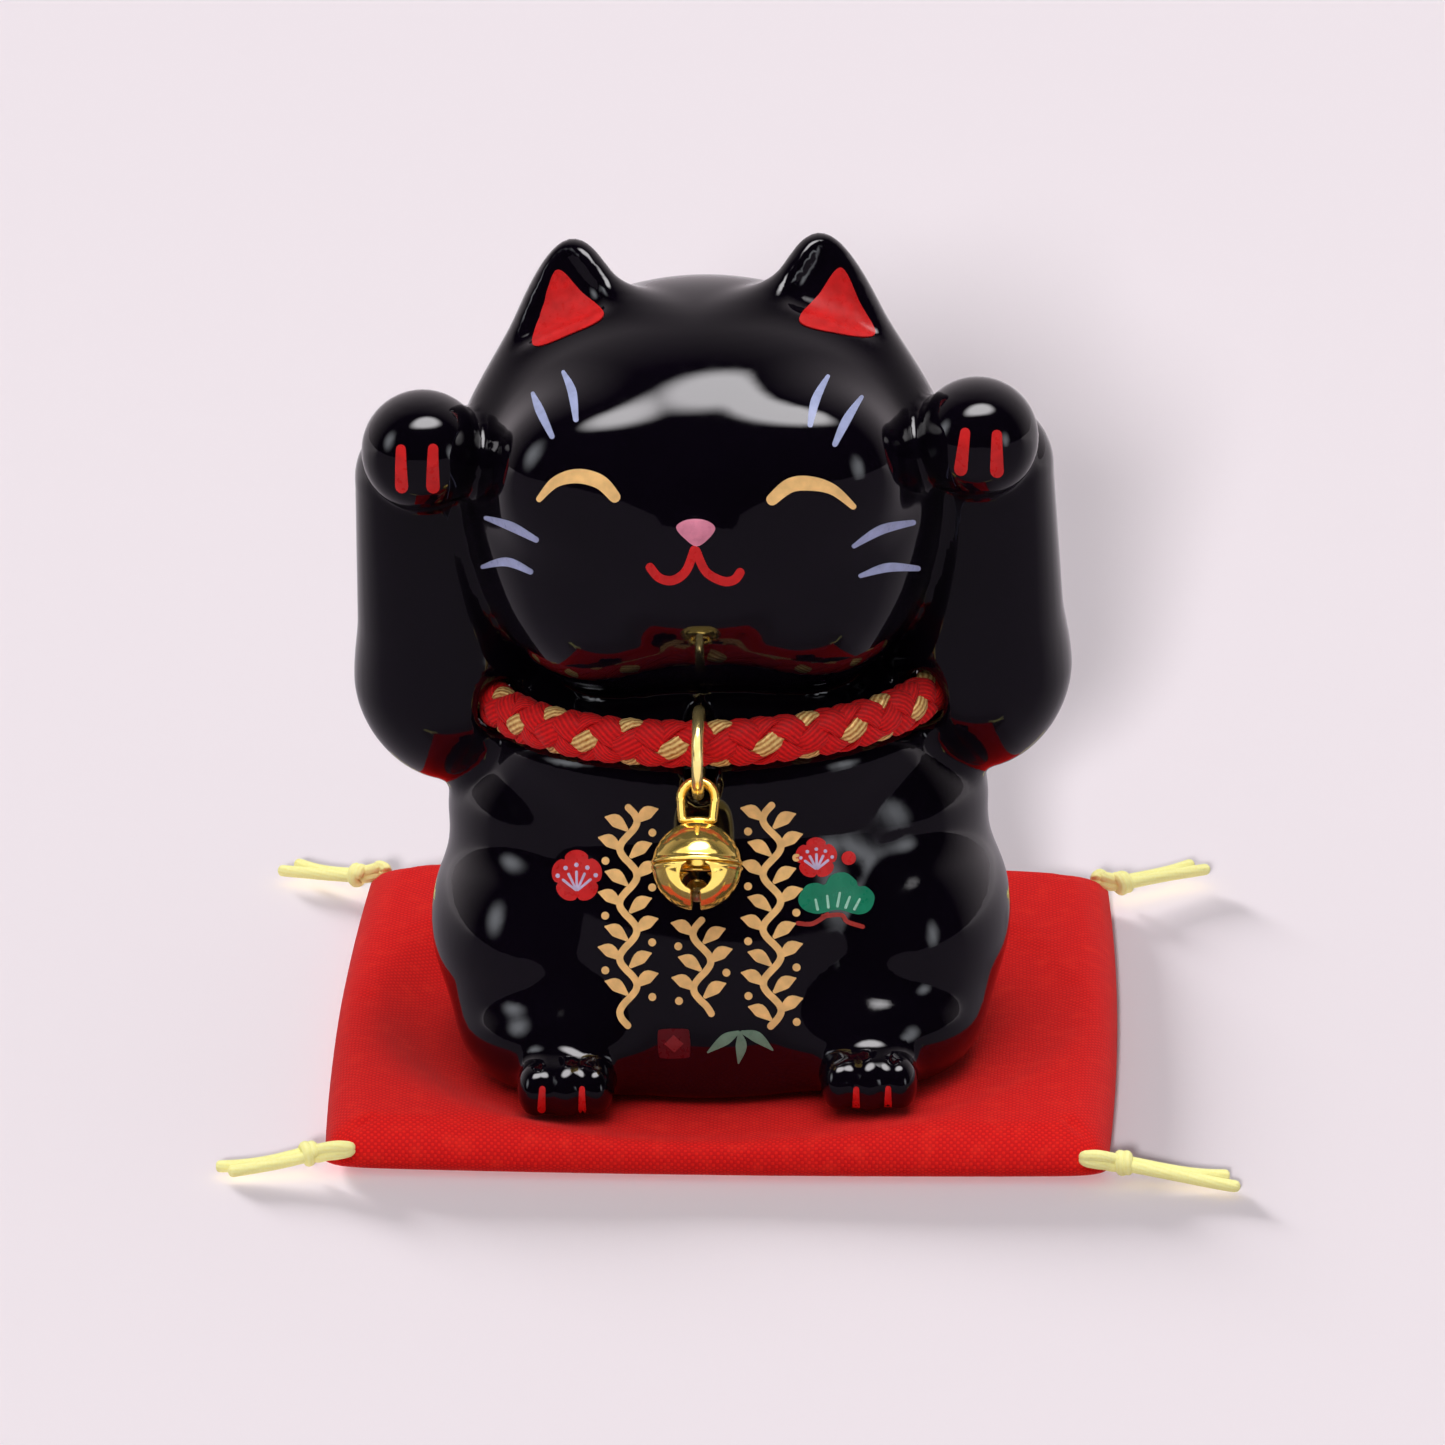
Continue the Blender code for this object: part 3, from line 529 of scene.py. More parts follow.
def plain_finish(name, dark, bright, size_mm, rough, metallic, depth_mm):
    """A cloudy finish for pieces that are hardly seen."""
    finish = Finish(name, Metallic=metallic)
    cloud = finish.noise(size_mm, 4)
    shade = finish.blend_colours(finish.between(cloud, 0, 1), dark, bright)
    roughness = finish.between(finish.noise(size_mm / 2, 3), rough * 0.8, min(1, rough * 1.2))
    return finish.drive(Base_Color=shade, Roughness=roughness, Normal=finish.bump(cloud, depth_mm))


# ---------------- the camera

AIM = Vector((-0.4, -7.2, 41.3))
CAMERA_RISE = math.radians(20.0)
CAMERA_TURN = math.radians(1.8)
CAMERA_DISTANCE = 1350.0
FRAME_WIDTH = 165.3
SENSOR_MM = 36.0


def add_camera():
    data = bpy.data.cameras.new("camera")
    data.sensor_width = SENSOR_MM
    data.lens = SENSOR_MM * CAMERA_DISTANCE / FRAME_WIDTH
    data.clip_start = 0.05
    camera = add_object("camera", data)
    turn, rise = Matrix.Rotation(CAMERA_TURN, 3, "Z"), Matrix.Rotation(-CAMERA_RISE, 3, "X")
    back = turn @ rise @ Vector((0, -1, 0))
    camera.location = (AIM + back * CAMERA_DISTANCE) * MM
    camera.rotation_euler = back.to_track_quat("Z", "Y").to_euler()
    bpy.context.scene.camera = camera


# ---------------- cat skin and painted marks

SKIN_STEP = 0.7
SKIN_LOW = (-44, -35, -2)
SKIN_HIGH = (44, 40, 101)


def add_cat_skin():
    points, faces = surface_net(hollow_cat_form, SKIN_LOW, SKIN_HIGH, SKIN_STEP)
    skin = new_piece("cat_skin", points, faces, CAT_FRAME, "cat", glaze_finish())
    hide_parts("cat_body")
    return BVHTree.FromPolygons(points.tolist(), faces.tolist())


def unit_rows(rows):
    return rows / np.linalg.norm(rows, axis=1)[:, None]


def steps_along(path):
    """The unit direction of a path at each of its points."""
    return unit_rows(np.gradient(path, axis=0))


def smooth_line(corners, count, closed=False):
    """Points along a smooth curve through the corners, each an array row."""
    corners = np.asarray(corners, float)
    total = len(corners)
    spans = total if closed else total - 1
    line = []
    for place in np.linspace(0, spans, count, endpoint=not closed):
        at = min(int(place), spans - 1)
        t = place - at
        picks = [at - 1, at, at + 1, at + 2]
        if closed:
            picks = [pick % total for pick in picks]
        else:
            picks = [min(max(pick, 0), total - 1) for pick in picks]
        a, b, c, d = corners[picks]
        bend = (2 * a - 5 * b + 4 * c - d) * t**2 + (3 * b - a - 3 * c + d) * t**3
        line.append((2 * b + (c - a) * t + bend) / 2)
    return np.array(line)


OUTLINE_STEP = 0.3


def stroke(corners, widths):
    """Outline of a brush stroke: width follows the line, and both ends are round."""
    rows = np.column_stack([np.asarray(corners, float), widths])
    rough_length = np.linalg.norm(np.diff(rows[:, :2], axis=0), axis=1).sum()
    line = smooth_line(rows, max(6, int(rough_length / OUTLINE_STEP)))
    path, width = line[:, :2], line[:, 2]
    ahead = steps_along(path)
    side = np.column_stack([-ahead[:, 1], ahead[:, 0]])
    half = side * width[:, None] / 2
    caps = []
    for end, sign in ((-1, 1), (0, -1)):
        cap = []
        for turn in np.linspace(0, math.pi, 7)[1:-1]:
            reach = side[end] * math.cos(turn) + ahead[end] * math.sin(turn)
            cap.append(path[end] + sign * reach * width[end] / 2)
        caps.append(np.array(cap))
    return np.concatenate([path + half, caps[0], (path - half)[::-1], caps[1]])


def blob(corners):
    """A closed smooth outline through the corners."""
    corners = np.asarray(corners, float)
    around = np.linalg.norm(corners - np.roll(corners, 1, axis=0), axis=1).sum()
    return smooth_line(corners, max(12, int(around / OUTLINE_STEP)), closed=True)


def disc(centre, radius, corners=16):
    turns = np.linspace(0, 2 * math.pi, corners + 1)[:-1]
    return np.array(centre) + radius * np.column_stack([np.cos(turns), np.sin(turns)])


PETAL_NOTCH = 0.22


def blossom(centre, radius):
    """Outline of a five-petalled flower: a circle drawn in between the petals."""
    circle = disc((0, 0), radius, 60)
    turns = np.arctan2(circle[:, 1], circle[:, 0])
    lobes = 1 - PETAL_NOTCH + PETAL_NOTCH * np.sqrt(np.abs(np.cos(2.5 * (turns - math.pi / 2))))
    return np.array(centre) + circle * lobes[:, None]


# Marks are drawn on a plane that faces the front from PAINT_RISE above it: (across, up) in millimetres.
PAINT_RISE = math.radians(20.0)
PAINT_UP = Vector((0, math.sin(PAINT_RISE), math.cos(PAINT_RISE)))
PAINT_INTO = Vector((0, math.cos(PAINT_RISE), -math.sin(PAINT_RISE)))
PAINT_SUNK = 0.05
PAINT_LIFT = 0.07
TRUNK_LIFT = 0.09
DETAIL_LIFT = 0.11
EAR_LIFT = 0.16
PAINT_STEP = 0.45
PAINT_CREASE = 50
PAINT_FROM = 90


def inside_outline(points, outline):
    """Which points lie inside a closed outline."""
    x, y = points[:, 0][:, None], points[:, 1][:, None]
    ends = np.roll(outline, -1, axis=0)
    x1, y1, x2, y2 = outline[:, 0], outline[:, 1], ends[:, 0], ends[:, 1]
    spans = (y1 > y) != (y2 > y)
    drop = np.where(y2 == y1, 1, y2 - y1)
    hits = spans & (x < (x2 - x1) * (y - y1) / drop + x1)
    return hits.sum(1) % 2 == 1


def painted_patch(skin, outline, lift):
    """A thin closed patch of enamel laid on the skin under an outline, as `joined` takes it."""
    low, high = outline.min(0), outline.max(0)
    ticks = [np.arange(low[axis], high[axis], PAINT_STEP) for axis in range(2)]
    grid = np.stack(np.meshgrid(*ticks), -1).reshape(-1, 2)
    grid = grid[inside_outline(grid, outline)]
    if len(grid):
        gaps = np.linalg.norm(grid[:, None] - outline[None], axis=2).min(1)
        grid = grid[gaps > 0.4 * PAINT_STEP]
    flat = np.concatenate([outline, grid])
    places, _, faces, *_ = delaunay_2d_cdt(
        [Vector(p) for p in flat], [], [list(range(len(outline)))], 1, 1e-4
    )
    tops, bottoms, hit = [], [], []
    for place in places:
        start = Vector((place.x, 0, 0)) + PAINT_UP * place.y - PAINT_INTO * PAINT_FROM
        spot, normal, _, _ = skin.ray_cast(start, PAINT_INTO, 2 * PAINT_FROM)
        hit.append(spot is not None)
        spot, normal = spot or start, normal or -PAINT_INTO
        tops.append(spot + normal * lift)
        bottoms.append(spot - normal * PAINT_SUNK)
    kept = [tuple(face) for face in faces if all(hit[corner] for corner in face)]
    edges = {(one, two): True for face in kept for one, two in zip(face, face[1:] + face[:1])}
    count = len(places)
    solid = kept + [tuple(corner + count for corner in reversed(face)) for face in kept]
    solid += [(two, one, one + count, two + count) for one, two in edges if (two, one) not in edges]
    return tops + bottoms, solid, ()


def joined(parts):
    """Several parts as one set of points, faces and surface coordinates."""
    points, faces, uv = [], [], []
    for part_points, part_faces, part_uv in parts:
        shift = len(points)
        points += [tuple(point) for point in part_points]
        faces += [tuple(corner + shift for corner in face) for face in part_faces]
        uv += part_uv
    return points, faces, uv


def add_marks(skin, name, colour, outlines, rough=0.3, lift=PAINT_LIFT):
    points, faces, _ = joined(painted_patch(skin, outline, lift) for outline in outlines)
    used = sorted({corner for face in faces for corner in face})
    index = {corner: order for order, corner in enumerate(used)}
    faces = [tuple(index[corner] for corner in face) for face in faces]
    points = [points[corner] for corner in used]
    finish = enamel_finish("enamel_" + name, colour, rough)
    new_piece("paint_" + name, points, faces, CAT_FRAME, "cat", finish, PAINT_CREASE)


TAPER = (0.45, 1.0, 0.6)
BROWS = (
    ((-18.3, 71.9), (-17.3, 69.8), (-15.9, 66.9)),
    ((-14.8, 74.2), (-13.7, 71.9), (-13.2, 68.7)),
    ((14.8, 73.0), (13.5, 70.3), (12.9, 67.5)),
    ((18.5, 70.6), (16.9, 68.0), (15.6, 65.3)),
)
WHISKERS = (
    ((-24.1, 58.2), (-21.0, 57.1), (-18.1, 55.5)),
    ((-24.9, 52.8), (-21.8, 53.2), (-19.0, 52.0)),
    ((17.3, 54.0), (20.4, 55.8), (23.8, 56.6)),
    ((17.9, 50.7), (20.9, 51.6), (24.1, 51.5)),
)
EYES = (
    ((-17.5, 60.0), (-15.6, 61.8), (-13.1, 62.4), (-10.6, 61.7), (-9.0, 60.0)),
    ((8.5, 59.3), (10.5, 60.8), (12.7, 61.0), (15.2, 60.3), (17.4, 58.4)),
)
EYE_WIDTHS = ((0.7, 1.2, 1.6, 1.6, 1.3), (1.3, 1.6, 1.6, 1.2, 0.7))
NOSE = (
    (-2.2, 56.4), (-1.4, 57.1), (0, 57.3), (1.4, 57.0), (2.1, 56.2), (1.3, 55.1), (0, 54.3), (-1.3, 55.2),
)
MOUTH = (
    ((-5.3, 52.1), (-4.3, 50.9), (-2.8, 50.6), (-1.3, 51.6), (-0.3, 53.9)),
    ((-0.1, 53.8), (0.9, 51.5), (2.7, 50.4), (4.0, 50.5), (4.7, 51.3)),
)
# ends, width
CLAWS = (
    (((-33.2, 66.0), (-33.3, 61.9)), 1.5),
    (((-29.6, 66.0), (-29.8, 61.8)), 1.5),
    (((30.0, 66.4), (29.4, 62.4)), 1.5),
    (((33.5, 66.1), (33.4, 62.1)), 1.5),
    (((-19.7, -6.3), (-19.9, -8.6)), 0.9),
    (((-15.2, -6.4), (-15.3, -8.8)), 0.9),
    (((15.8, -7.1), (15.7, -9.2)), 0.9),
    (((19.4, -7.1), (19.3, -9.2)), 0.9),
)
INNER_EARS = (
    ((-15.7, 86.0), (-12.9, 83.4), (-10.3, 80.6), (-14.0, 78.6), (-18.4, 77.5), (-17.4, 81.8)),
    ((16.3, 85.5), (13.8, 82.6), (11.6, 79.4), (15.6, 78.0), (19.9, 77.8), (18.3, 81.6)),
)
# centre, radius
BLOSSOMS = (((-15.4, 17.6), 3.0), ((11.8, 19.1), 2.35))
BERRY = ((15.4, 19.0), 0.8)
PINE = (
    (9.7, 14.6), (10.6, 16.0), (11.7, 16.3), (12.7, 16.1), (13.4, 17.1), (14.9, 17.4), (16.1, 16.5),
    (16.4, 15.8), (17.3, 15.7), (18.2, 14.6), (17.7, 13.1), (16.3, 12.6), (14.0, 13.2), (11.8, 12.8),
    (10.2, 13.4),
)
NEEDLES = (
    ((11.8, 13.3), (11.6, 14.4)),
    ((13.0, 13.5), (12.9, 14.8)),
    ((14.0, 13.6), (14.3, 15.1)),
    ((14.9, 13.4), (15.4, 14.6)),
    ((15.9, 13.2), (16.5, 14.3)),
)
TRUNK = (
    ((9.6, 11.8), (11.2, 11.7), (12.9, 12.7)),
    ((12.4, 12.5), (14.4, 12.6), (15.1, 11.8), (16.8, 11.2)),
)
BAMBOO = (
    ((2.5, -0.4), (1.0, -1.2), (-1.0, -2.6)),
    ((2.7, -0.5), (2.8, -2.0), (2.4, -3.9)),
    ((3.0, -0.4), (4.6, -1.0), (6.3, -2.5)),
)
# top, bottom, side of the first bend
VINES = (
    ((-9.2, 25.3), (-9.9, 0.6), 1),
    ((-1.2, 12.4), (-1.4, 1.8), -1),
    ((7.0, 25.2), (6.4, 0.2), -1),
)
VINE_WAVE = 6.2
VINE_SWING = 1.0
VINE_WIDTH = 0.8
LEAF_LENGTH = 2.7
LEAF_WIDTHS = (0.5, 1.5, 0.22)
STAMEN_TURNS = (38, 64, 90, 116, 142)
SQUARE_LOW = (-6.6, -3.2)
SQUARE_HIGH = (-3.0, 0.1)
SQUARE_ROUND = 0.5
DIAMOND_HALF = (1.1, 1.0)


def vine(top, bottom, side):
    """A climbing vine in gold: a wavy stem with a leaf and a berry at each bend."""
    top, bottom = np.array(top), np.array(bottom)
    length = top[1] - bottom[1]
    turns = length / VINE_WAVE
    steps = np.linspace(0, 1, int(turns * 8) + 1)
    line = top + (bottom - top) * steps[:, None]
    line[:, 0] += VINE_SWING * side * np.sin(steps * turns * 2 * math.pi)
    outlines = [stroke(line, [VINE_WIDTH] * len(line))]
    for bend in range(int(turns * 2)):
        share = (bend + 0.5) / (turns * 2)
        way = side * (-1) ** bend
        root = top + (bottom - top) * share + np.array([VINE_SWING * way, 0])
        low = root + np.array([-way * 1.3, -0.9])
        for start, slope in ((root, 0.5), (low, -0.55)):
            reach = way if start is root else -way
            tip = start + LEAF_LENGTH * np.array([reach * math.cos(slope), math.sin(abs(slope))])
            middle = (start + tip) / 2 + np.array([0, 0.28])
            outlines.append(stroke((start, middle, tip), LEAF_WIDTHS))
        outlines.append(disc(root + np.array([way * 1.7, -1.35]), 0.45))
    return outlines


def blossom_threads(centre, radius):
    """The flower's stamens: a fan of short strokes with a dot past each."""
    centre = np.array(centre)
    root = centre + np.array([0, -0.55 * radius])
    outlines = []
    for turn in np.radians(STAMEN_TURNS):
        way = np.array([math.cos(turn), math.sin(turn)])
        reach = radius * (0.62 + 0.1 * way[1])
        outlines.append(stroke((root + way * 0.15, root + way * reach), (0.25, 0.3)))
        outlines.append(disc(root + way * (reach + 0.26 * radius), 0.085 * radius))
    return outlines


def round_square():
    """Outline of a square with rounded corners."""
    (left, low), (right, high), cut = SQUARE_LOW, SQUARE_HIGH, SQUARE_ROUND
    sides = (
        (left, low + cut), (left, high - cut), (left + cut, high), (right - cut, high),
        (right, high - cut), (right, low + cut), (right - cut, low), (left + cut, low),
    )
    return blob(sides)


def add_painting(skin):
    """All the painted marks, one piece for each colour."""
    lavender = linear(160, 168, 205)
    add_marks(skin, "brow_and_whisker", lavender, [stroke(line, TAPER) for line in BROWS + WHISKERS])
    gold = [stroke(line, widths) for line, widths in zip(EYES, EYE_WIDTHS)]
    for column in VINES:
        gold += vine(*column)
    add_marks(skin, "gold", linear(245, 198, 128), gold, rough=0.38)
    add_marks(skin, "nose", linear(221, 135, 159), [blob(NOSE)])
    red_enamel = linear(206, 30, 30)
    add_marks(skin, "inner_ears", red_enamel, [blob(corners) for corners in INNER_EARS], lift=EAR_LIFT)
    red = [stroke(line, [1.0] * len(line)) for line in MOUTH]
    red += [stroke(ends, (width * 0.75, width)) for ends, width in CLAWS]
    red += [blossom(*flower) for flower in BLOSSOMS] + [disc(*BERRY)]
    add_marks(skin, "red", red_enamel, red)
    add_marks(skin, "pine", linear(22, 130, 96), [blob(PINE)])
    needles = [stroke(needle, (0.3, 0.25)) for needle in NEEDLES]
    add_marks(skin, "pine_needles", linear(160, 216, 192), needles, lift=DETAIL_LIFT)
    trunk = [stroke(line, [0.5] * len(line)) for line in TRUNK]
    add_marks(skin, "pine_trunk", linear(168, 52, 44), trunk, lift=TRUNK_LIFT)
    add_marks(skin, "bamboo", linear(111, 143, 122), [stroke(leaf, (0.4, 1.25, 0.2)) for leaf in BAMBOO])
    threads = [outline for flower in BLOSSOMS for outline in blossom_threads(*flower)]
    add_marks(skin, "stamens", linear(200, 184, 216), threads, lift=DETAIL_LIFT)
    add_marks(skin, "crimson", linear(92, 17, 24), [round_square()])
    middle = (np.array(SQUARE_LOW) + SQUARE_HIGH) / 2
    diamond = middle + np.array([(1, 0), (0, 1), (-1, 0), (0, -1)]) * DIAMOND_HALF
    add_marks(skin, "crimson_diamond", linear(138, 40, 44), [diamond], lift=DETAIL_LIFT)


# ---------------- swept cords


def swept(path, ups, half_across, half_up, sides, closed=False, scale=None):
    """A tube of elliptical section along a path: points, faces and surface coordinates."""
    path = np.asarray(path, float)
    count = len(path)
    if closed:
        ahead = unit_rows(np.roll(path, -1, axis=0) - np.roll(path, 1, axis=0))
    else:
        ahead = steps_along(path)
    ups = unit_rows(ups - (ups * ahead).sum(1)[:, None] * ahead)
    across = np.cross(ahead, ups)
    scale = np.ones(count) if scale is None else scale
    turns = np.linspace(0, 2 * math.pi, sides + 1)[:-1, None]
    ring = across[:, None] * half_across * np.cos(turns) + ups[:, None] * half_up * np.sin(turns)
    points = (path[:, None] + ring * scale[:, None, None]).reshape(-1, 3)
    gaps = np.linalg.norm(np.roll(path, -1, axis=0) - path, axis=1)
    runs = np.concatenate([[0], np.cumsum(gaps)])
    girth = math.pi * (half_across + half_up) / sides
    faces, uv = [], []
    for step in range(count if closed else count - 1):
        after = (step + 1) % count
        for side in range(sides):
            turn = (side + 1) % sides
            corners = ((step, side), (step, turn), (after, turn), (after, side))
            faces.append(tuple(row * sides + column for row, column in corners))
            near, far = runs[step], runs[step + 1]
            uv += [(near, side * girth), (near, (side + 1) * girth)]
            uv += [(far, (side + 1) * girth), (far, side * girth)]
    if not closed:
        last = (count - 1) * sides
        faces.append(tuple(range(sides))[::-1])
        uv += [(0, 0)] * sides
        faces.append(tuple(last + side for side in range(sides)))
        uv += [(runs[count - 1], 0)] * sides
    return points, faces, uv


def carried_ups(path, start):
    """Sideways directions along a path that turn as little as they can."""
    ups = [np.asarray(start, float)]
    for way in steps_along(path)[1:]:
        up = ups[-1] - (ups[-1] @ way) * way
        ups.append(up / np.linalg.norm(up))
    return np.array(ups)


def round_ends(count, taper=3):
    """Scale along a cord that rounds off both its ends."""
    scale = np.ones(count)
    for step in range(taper):
        size = math.sqrt(1 - (1 - (step + 0.4) / taper) ** 2)
        scale[step] = scale[count - 1 - step] = size
    return scale


# ---------------- collar

BRAID_TURNS = 8
STRANDS_EACH_WAY = 4
STRAND_HALF_WIDE = 1.46
GOLD_HALF_WIDE = 1.08
STRAND_HALF_THICK = 0.56
WEAVE_DEPTH = 0.42
BRAID_PHASE = math.radians(-7.8)


def collar_line(angle):
    """Centre and outward direction of the collar at an angle from the front."""
    centre = Vector((COLLAR_HALF_X * math.sin(angle), -COLLAR_HALF_Y * math.cos(angle), COLLAR_Z))
    outward = Vector((math.sin(angle) / COLLAR_HALF_X, -math.cos(angle) / COLLAR_HALF_Y, 0))
    return centre, outward.normalized()


def braid_strand(way, index, half_wide):
    """One strand of the braid, going round the collar's section one way and over and under the others."""
    steps = BRAID_TURNS * 32
    path, ups = [], []
    for step in range(steps):
        angle = 2 * math.pi * step / steps
        centre, outward = collar_line(angle + BRAID_PHASE)
        turn = way * BRAID_TURNS * angle + 2 * math.pi * index / STRANDS_EACH_WAY
        lift = way * WEAVE_DEPTH * math.cos(STRANDS_EACH_WAY * BRAID_TURNS * angle)
        inset = STRAND_HALF_THICK + WEAVE_DEPTH * 0.7 - lift
        thick, wide = BRAID_THICK / 2 - inset, BRAID_WIDE / 2 - inset
        path.append(centre + outward * (thick * math.cos(turn)) + Vector((0, 0, wide * math.sin(turn))))
        ups.append(outward * (math.cos(turn) / thick) + Vector((0, 0, math.sin(turn) / wide)))
    return swept(path, np.array(ups), half_wide, STRAND_HALF_THICK, 12, closed=True)


def add_collar():
    gold, red = [], []
    for way in (1, -1):
        for index in range(STRANDS_EACH_WAY):
            is_gold = way == 1 and index % 2 == 0
            half_wide = GOLD_HALF_WIDE if is_gold else STRAND_HALF_WIDE
            (gold if is_gold else red).append(braid_strand(way, index, half_wide))
    red_thread = thread_finish("red_thread", linear(158, 6, 10), linear(238, 22, 24))
    gold_thread = thread_finish(
        "gold_thread", linear(176, 106, 44), linear(255, 222, 146), 0.15, 0.4, threads_mm=0.5, ridge=0.35
    )
    for name, strands, finish in (("braid_red", red, red_thread), ("braid_gold", gold, gold_thread)):
        points, faces, uv = joined(strands)
        piece = new_piece(name, points, faces, CAT_FRAME, "cat", finish, uv=uv)
        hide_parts("collar_braid")
    add_whipping(red_thread)


WHIPPING_TURNS = 9
WHIPPING_THREAD = 0.36
WHIPPING_LENGTH = 6.0
WHIPPING_GAP = 0.3


def add_whipping(finish):
    """Thread wound round the braid at the nape, where its ends meet."""
    steps = WHIPPING_TURNS * 20
    off_braid = WHIPPING_THREAD + WHIPPING_GAP
    path, ups = [], []
    for step in range(steps + 1):
        share = step / steps
        angle = math.pi + (share - 0.5) * WHIPPING_LENGTH / COLLAR_HALF_X
        centre, outward = collar_line(angle)
        turn = 2 * math.pi * WHIPPING_TURNS * share
        side = outward * math.cos(turn) * (BRAID_THICK / 2 + off_braid)
        rise = Vector((0, 0, math.sin(turn) * (BRAID_WIDE / 2 + off_braid)))
        path.append(centre + side + rise)
        ups.append((side + rise).normalized())
    points, faces, uv = swept(path, np.array(ups), WHIPPING_THREAD, WHIPPING_THREAD, 8)
    piece = new_piece("collar_whipping", points, faces, CAT_FRAME, "cat", finish, uv=uv)
    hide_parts("collar_knot")


# ---------------- jump ring and bell

RING_WIRE = 1.35
RING_MEAN_RADIUS = 4.7
RING_DROP = 1.05
RING_OPENING = math.radians(4)
BELL_RADIUS = 5.0
BELL_WALL = 0.45
BELL_GAP = 0.12
BELL_EDGE_ROUND = 0.12
CROWN_FLAT = 0.12
BEAD_RADIUS = 0.28
BEAD_INSET = 0.12
BEAD_Z = 0.3
SLIT_WIDTH = 0.9
HOLE_RADIUS = 1.75
HOLE_DROP = math.radians(20.0)
BELL_DROP = 8.125
LOOP_STRIP = 1.0
LOOP_FLATTEN = 0.72
LOOP_FOOT = (2.0, 1.0, 0.5)
LOOP_FOOT_X = 1.72
LOOP_BEND = 1.94
LOOP_TOP = LOOP_STRIP / 2 + RING_WIRE / 2 + 0.3
BELL_STEP = 0.13
LOOP_STEP = 0.12


def add_jump_ring(brass):
    """Round wire, split at the back where the ring was closed."""
    start = math.pi / 2 + RING_OPENING / 2
    turns = np.linspace(start, start + 2 * math.pi - RING_OPENING, 97)
    circle = np.column_stack([0 * turns, np.sin(turns), np.cos(turns)])
    path = RING_MEAN_RADIUS * circle - (0, 0, RING_DROP)
    ups = np.tile([1.0, 0, 0], (len(path), 1))
    points, faces, _ = swept(path, ups, RING_WIRE / 2, RING_WIRE / 2, 20)
    piece = new_piece("split_ring", points, faces, RING_FRAME, "ring", brass, 50)
    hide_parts("jump_ring")


def shell_form(points):
    """The bell's thin round wall, with a raised bead beside the seam."""
    reach = np.linalg.norm(points, axis=1)
    middle = BELL_RADIUS - BELL_WALL / 2
    wall = np.abs(reach - middle) - BELL_WALL / 2
    beside = np.hypot(points[:, 0], points[:, 1])
    bead = np.hypot(beside - BELL_RADIUS + BEAD_INSET, np.abs(points[:, 2]) - BEAD_Z) - BEAD_RADIUS
    return merge(wall, bead, 0.25)


def upper_shell_form(points):
    """The upper half: its crown is pressed a little flatter under the loop."""
    form = overlap(shell_form(points), BELL_GAP / 2 - points[:, 2], BELL_EDGE_ROUND)
    return overlap(form, points[:, 2] - (BELL_RADIUS - CROWN_FLAT), 0.2)


def lower_shell_form(points):
    """The lower half, with a round hole in front and behind and a slit that joins them."""
    form = overlap(shell_form(points), points[:, 2] + BELL_GAP / 2, BELL_EDGE_ROUND)
    x, y, z = points.T
    for side in (-1, 1):
        along = side * y * math.cos(HOLE_DROP) - z * math.sin(HOLE_DROP)
        rise = side * y * math.sin(HOLE_DROP) + z * math.cos(HOLE_DROP)
        hole = np.maximum(np.hypot(x, rise) - HOLE_RADIUS, 1 - along)
        form = carve(form, hole, 0.3)
    slit = np.maximum(np.abs(x) - SLIT_WIDTH / 2, z + BELL_RADIUS * math.sin(HOLE_DROP))
    return carve(form, slit, 0.25)


def loop_form(points):
    """The bell's hanging loop: a strip bent over, its feet splayed on the crown."""
    crown = BELL_RADIUS - BELL_DROP
    turns = np.linspace(0, math.pi, 13)
    bend = np.column_stack([-np.cos(turns), 0 * turns, np.sin(turns) - 1]) * LOOP_BEND + (0, 0, LOOP_TOP)
    path = [(-LOOP_FOOT_X, 0, crown + 0.3), *bend, (LOOP_FOOT_X, 0, crown + 0.3)]
    flattened = points * np.array([1, LOOP_FLATTEN, 1])
    form = ellipsoid(points, (0, 0, crown + 0.12), LOOP_FOOT)
    for start, end in zip(path, path[1:]):
        form = merge(form, limb(flattened, start, end, LOOP_STRIP / 2, LOOP_STRIP / 2), 0.2)
    return form


def add_bell():
    brass = brass_finish("bell_plating", linear(254, 220, 120), 0.09)
    add_jump_ring(brass_finish("ring_plating", linear(246, 222, 150), 0.16))
    centre = BELL_FRAME @ Matrix.Translation(Vector((0, 0, -BELL_DROP)) * MM)
    reach = BELL_RADIUS + 0.5
    shells = (
        ("bell_crown", upper_shell_form, -0.4, reach, "bell_upper_shell"),
        ("bell_bowl", lower_shell_form, -reach, 0.4, "bell_lower_shell"),
    )
    for name, form, bottom, top, node in shells:
        points, faces = surface_net(form, (-reach, -reach, bottom), (reach, reach, top), BELL_STEP)
        piece = new_piece(name, points, faces, centre, "bell", brass)
        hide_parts(node)
    points, faces = surface_net(loop_form, (-2.8, -1.6, -3.6), (2.8, 1.6, 2.4), LOOP_STEP)
    piece = new_piece("bell_loop", points, faces, BELL_FRAME, "bell", brass)
    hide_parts("bell_hanger_eye")
    return [bpy.data.objects[name] for name in ("split_ring", "bell_crown", "bell_bowl", "bell_loop")]


# ---------------- cushion

CUSHION_HALF = 45.2
CUSHION_BULGE = 1.1
SEAM_Z = 1.7
CROWN_Z = 5.2
EDGE_POWER = 30
CUSHION_CELLS = 84
SEAT_HALF_X = 34.0
SEAT_HALF_Y = 36.0
DENT_EDGE = 0.25
SEAT_MIDDLE_Y = -3.2
SEAT_Z = 4.4 - 0.66
WADDING_INSET = 0.75

# The cloth simulation works on a cover CLOTH_SCALE times as large.
CLOTH_SCALE = 10
CLOTH_FRAMES = 20
CLOTH_PRESSURE = 4
SWELL_LIMIT = 0.5


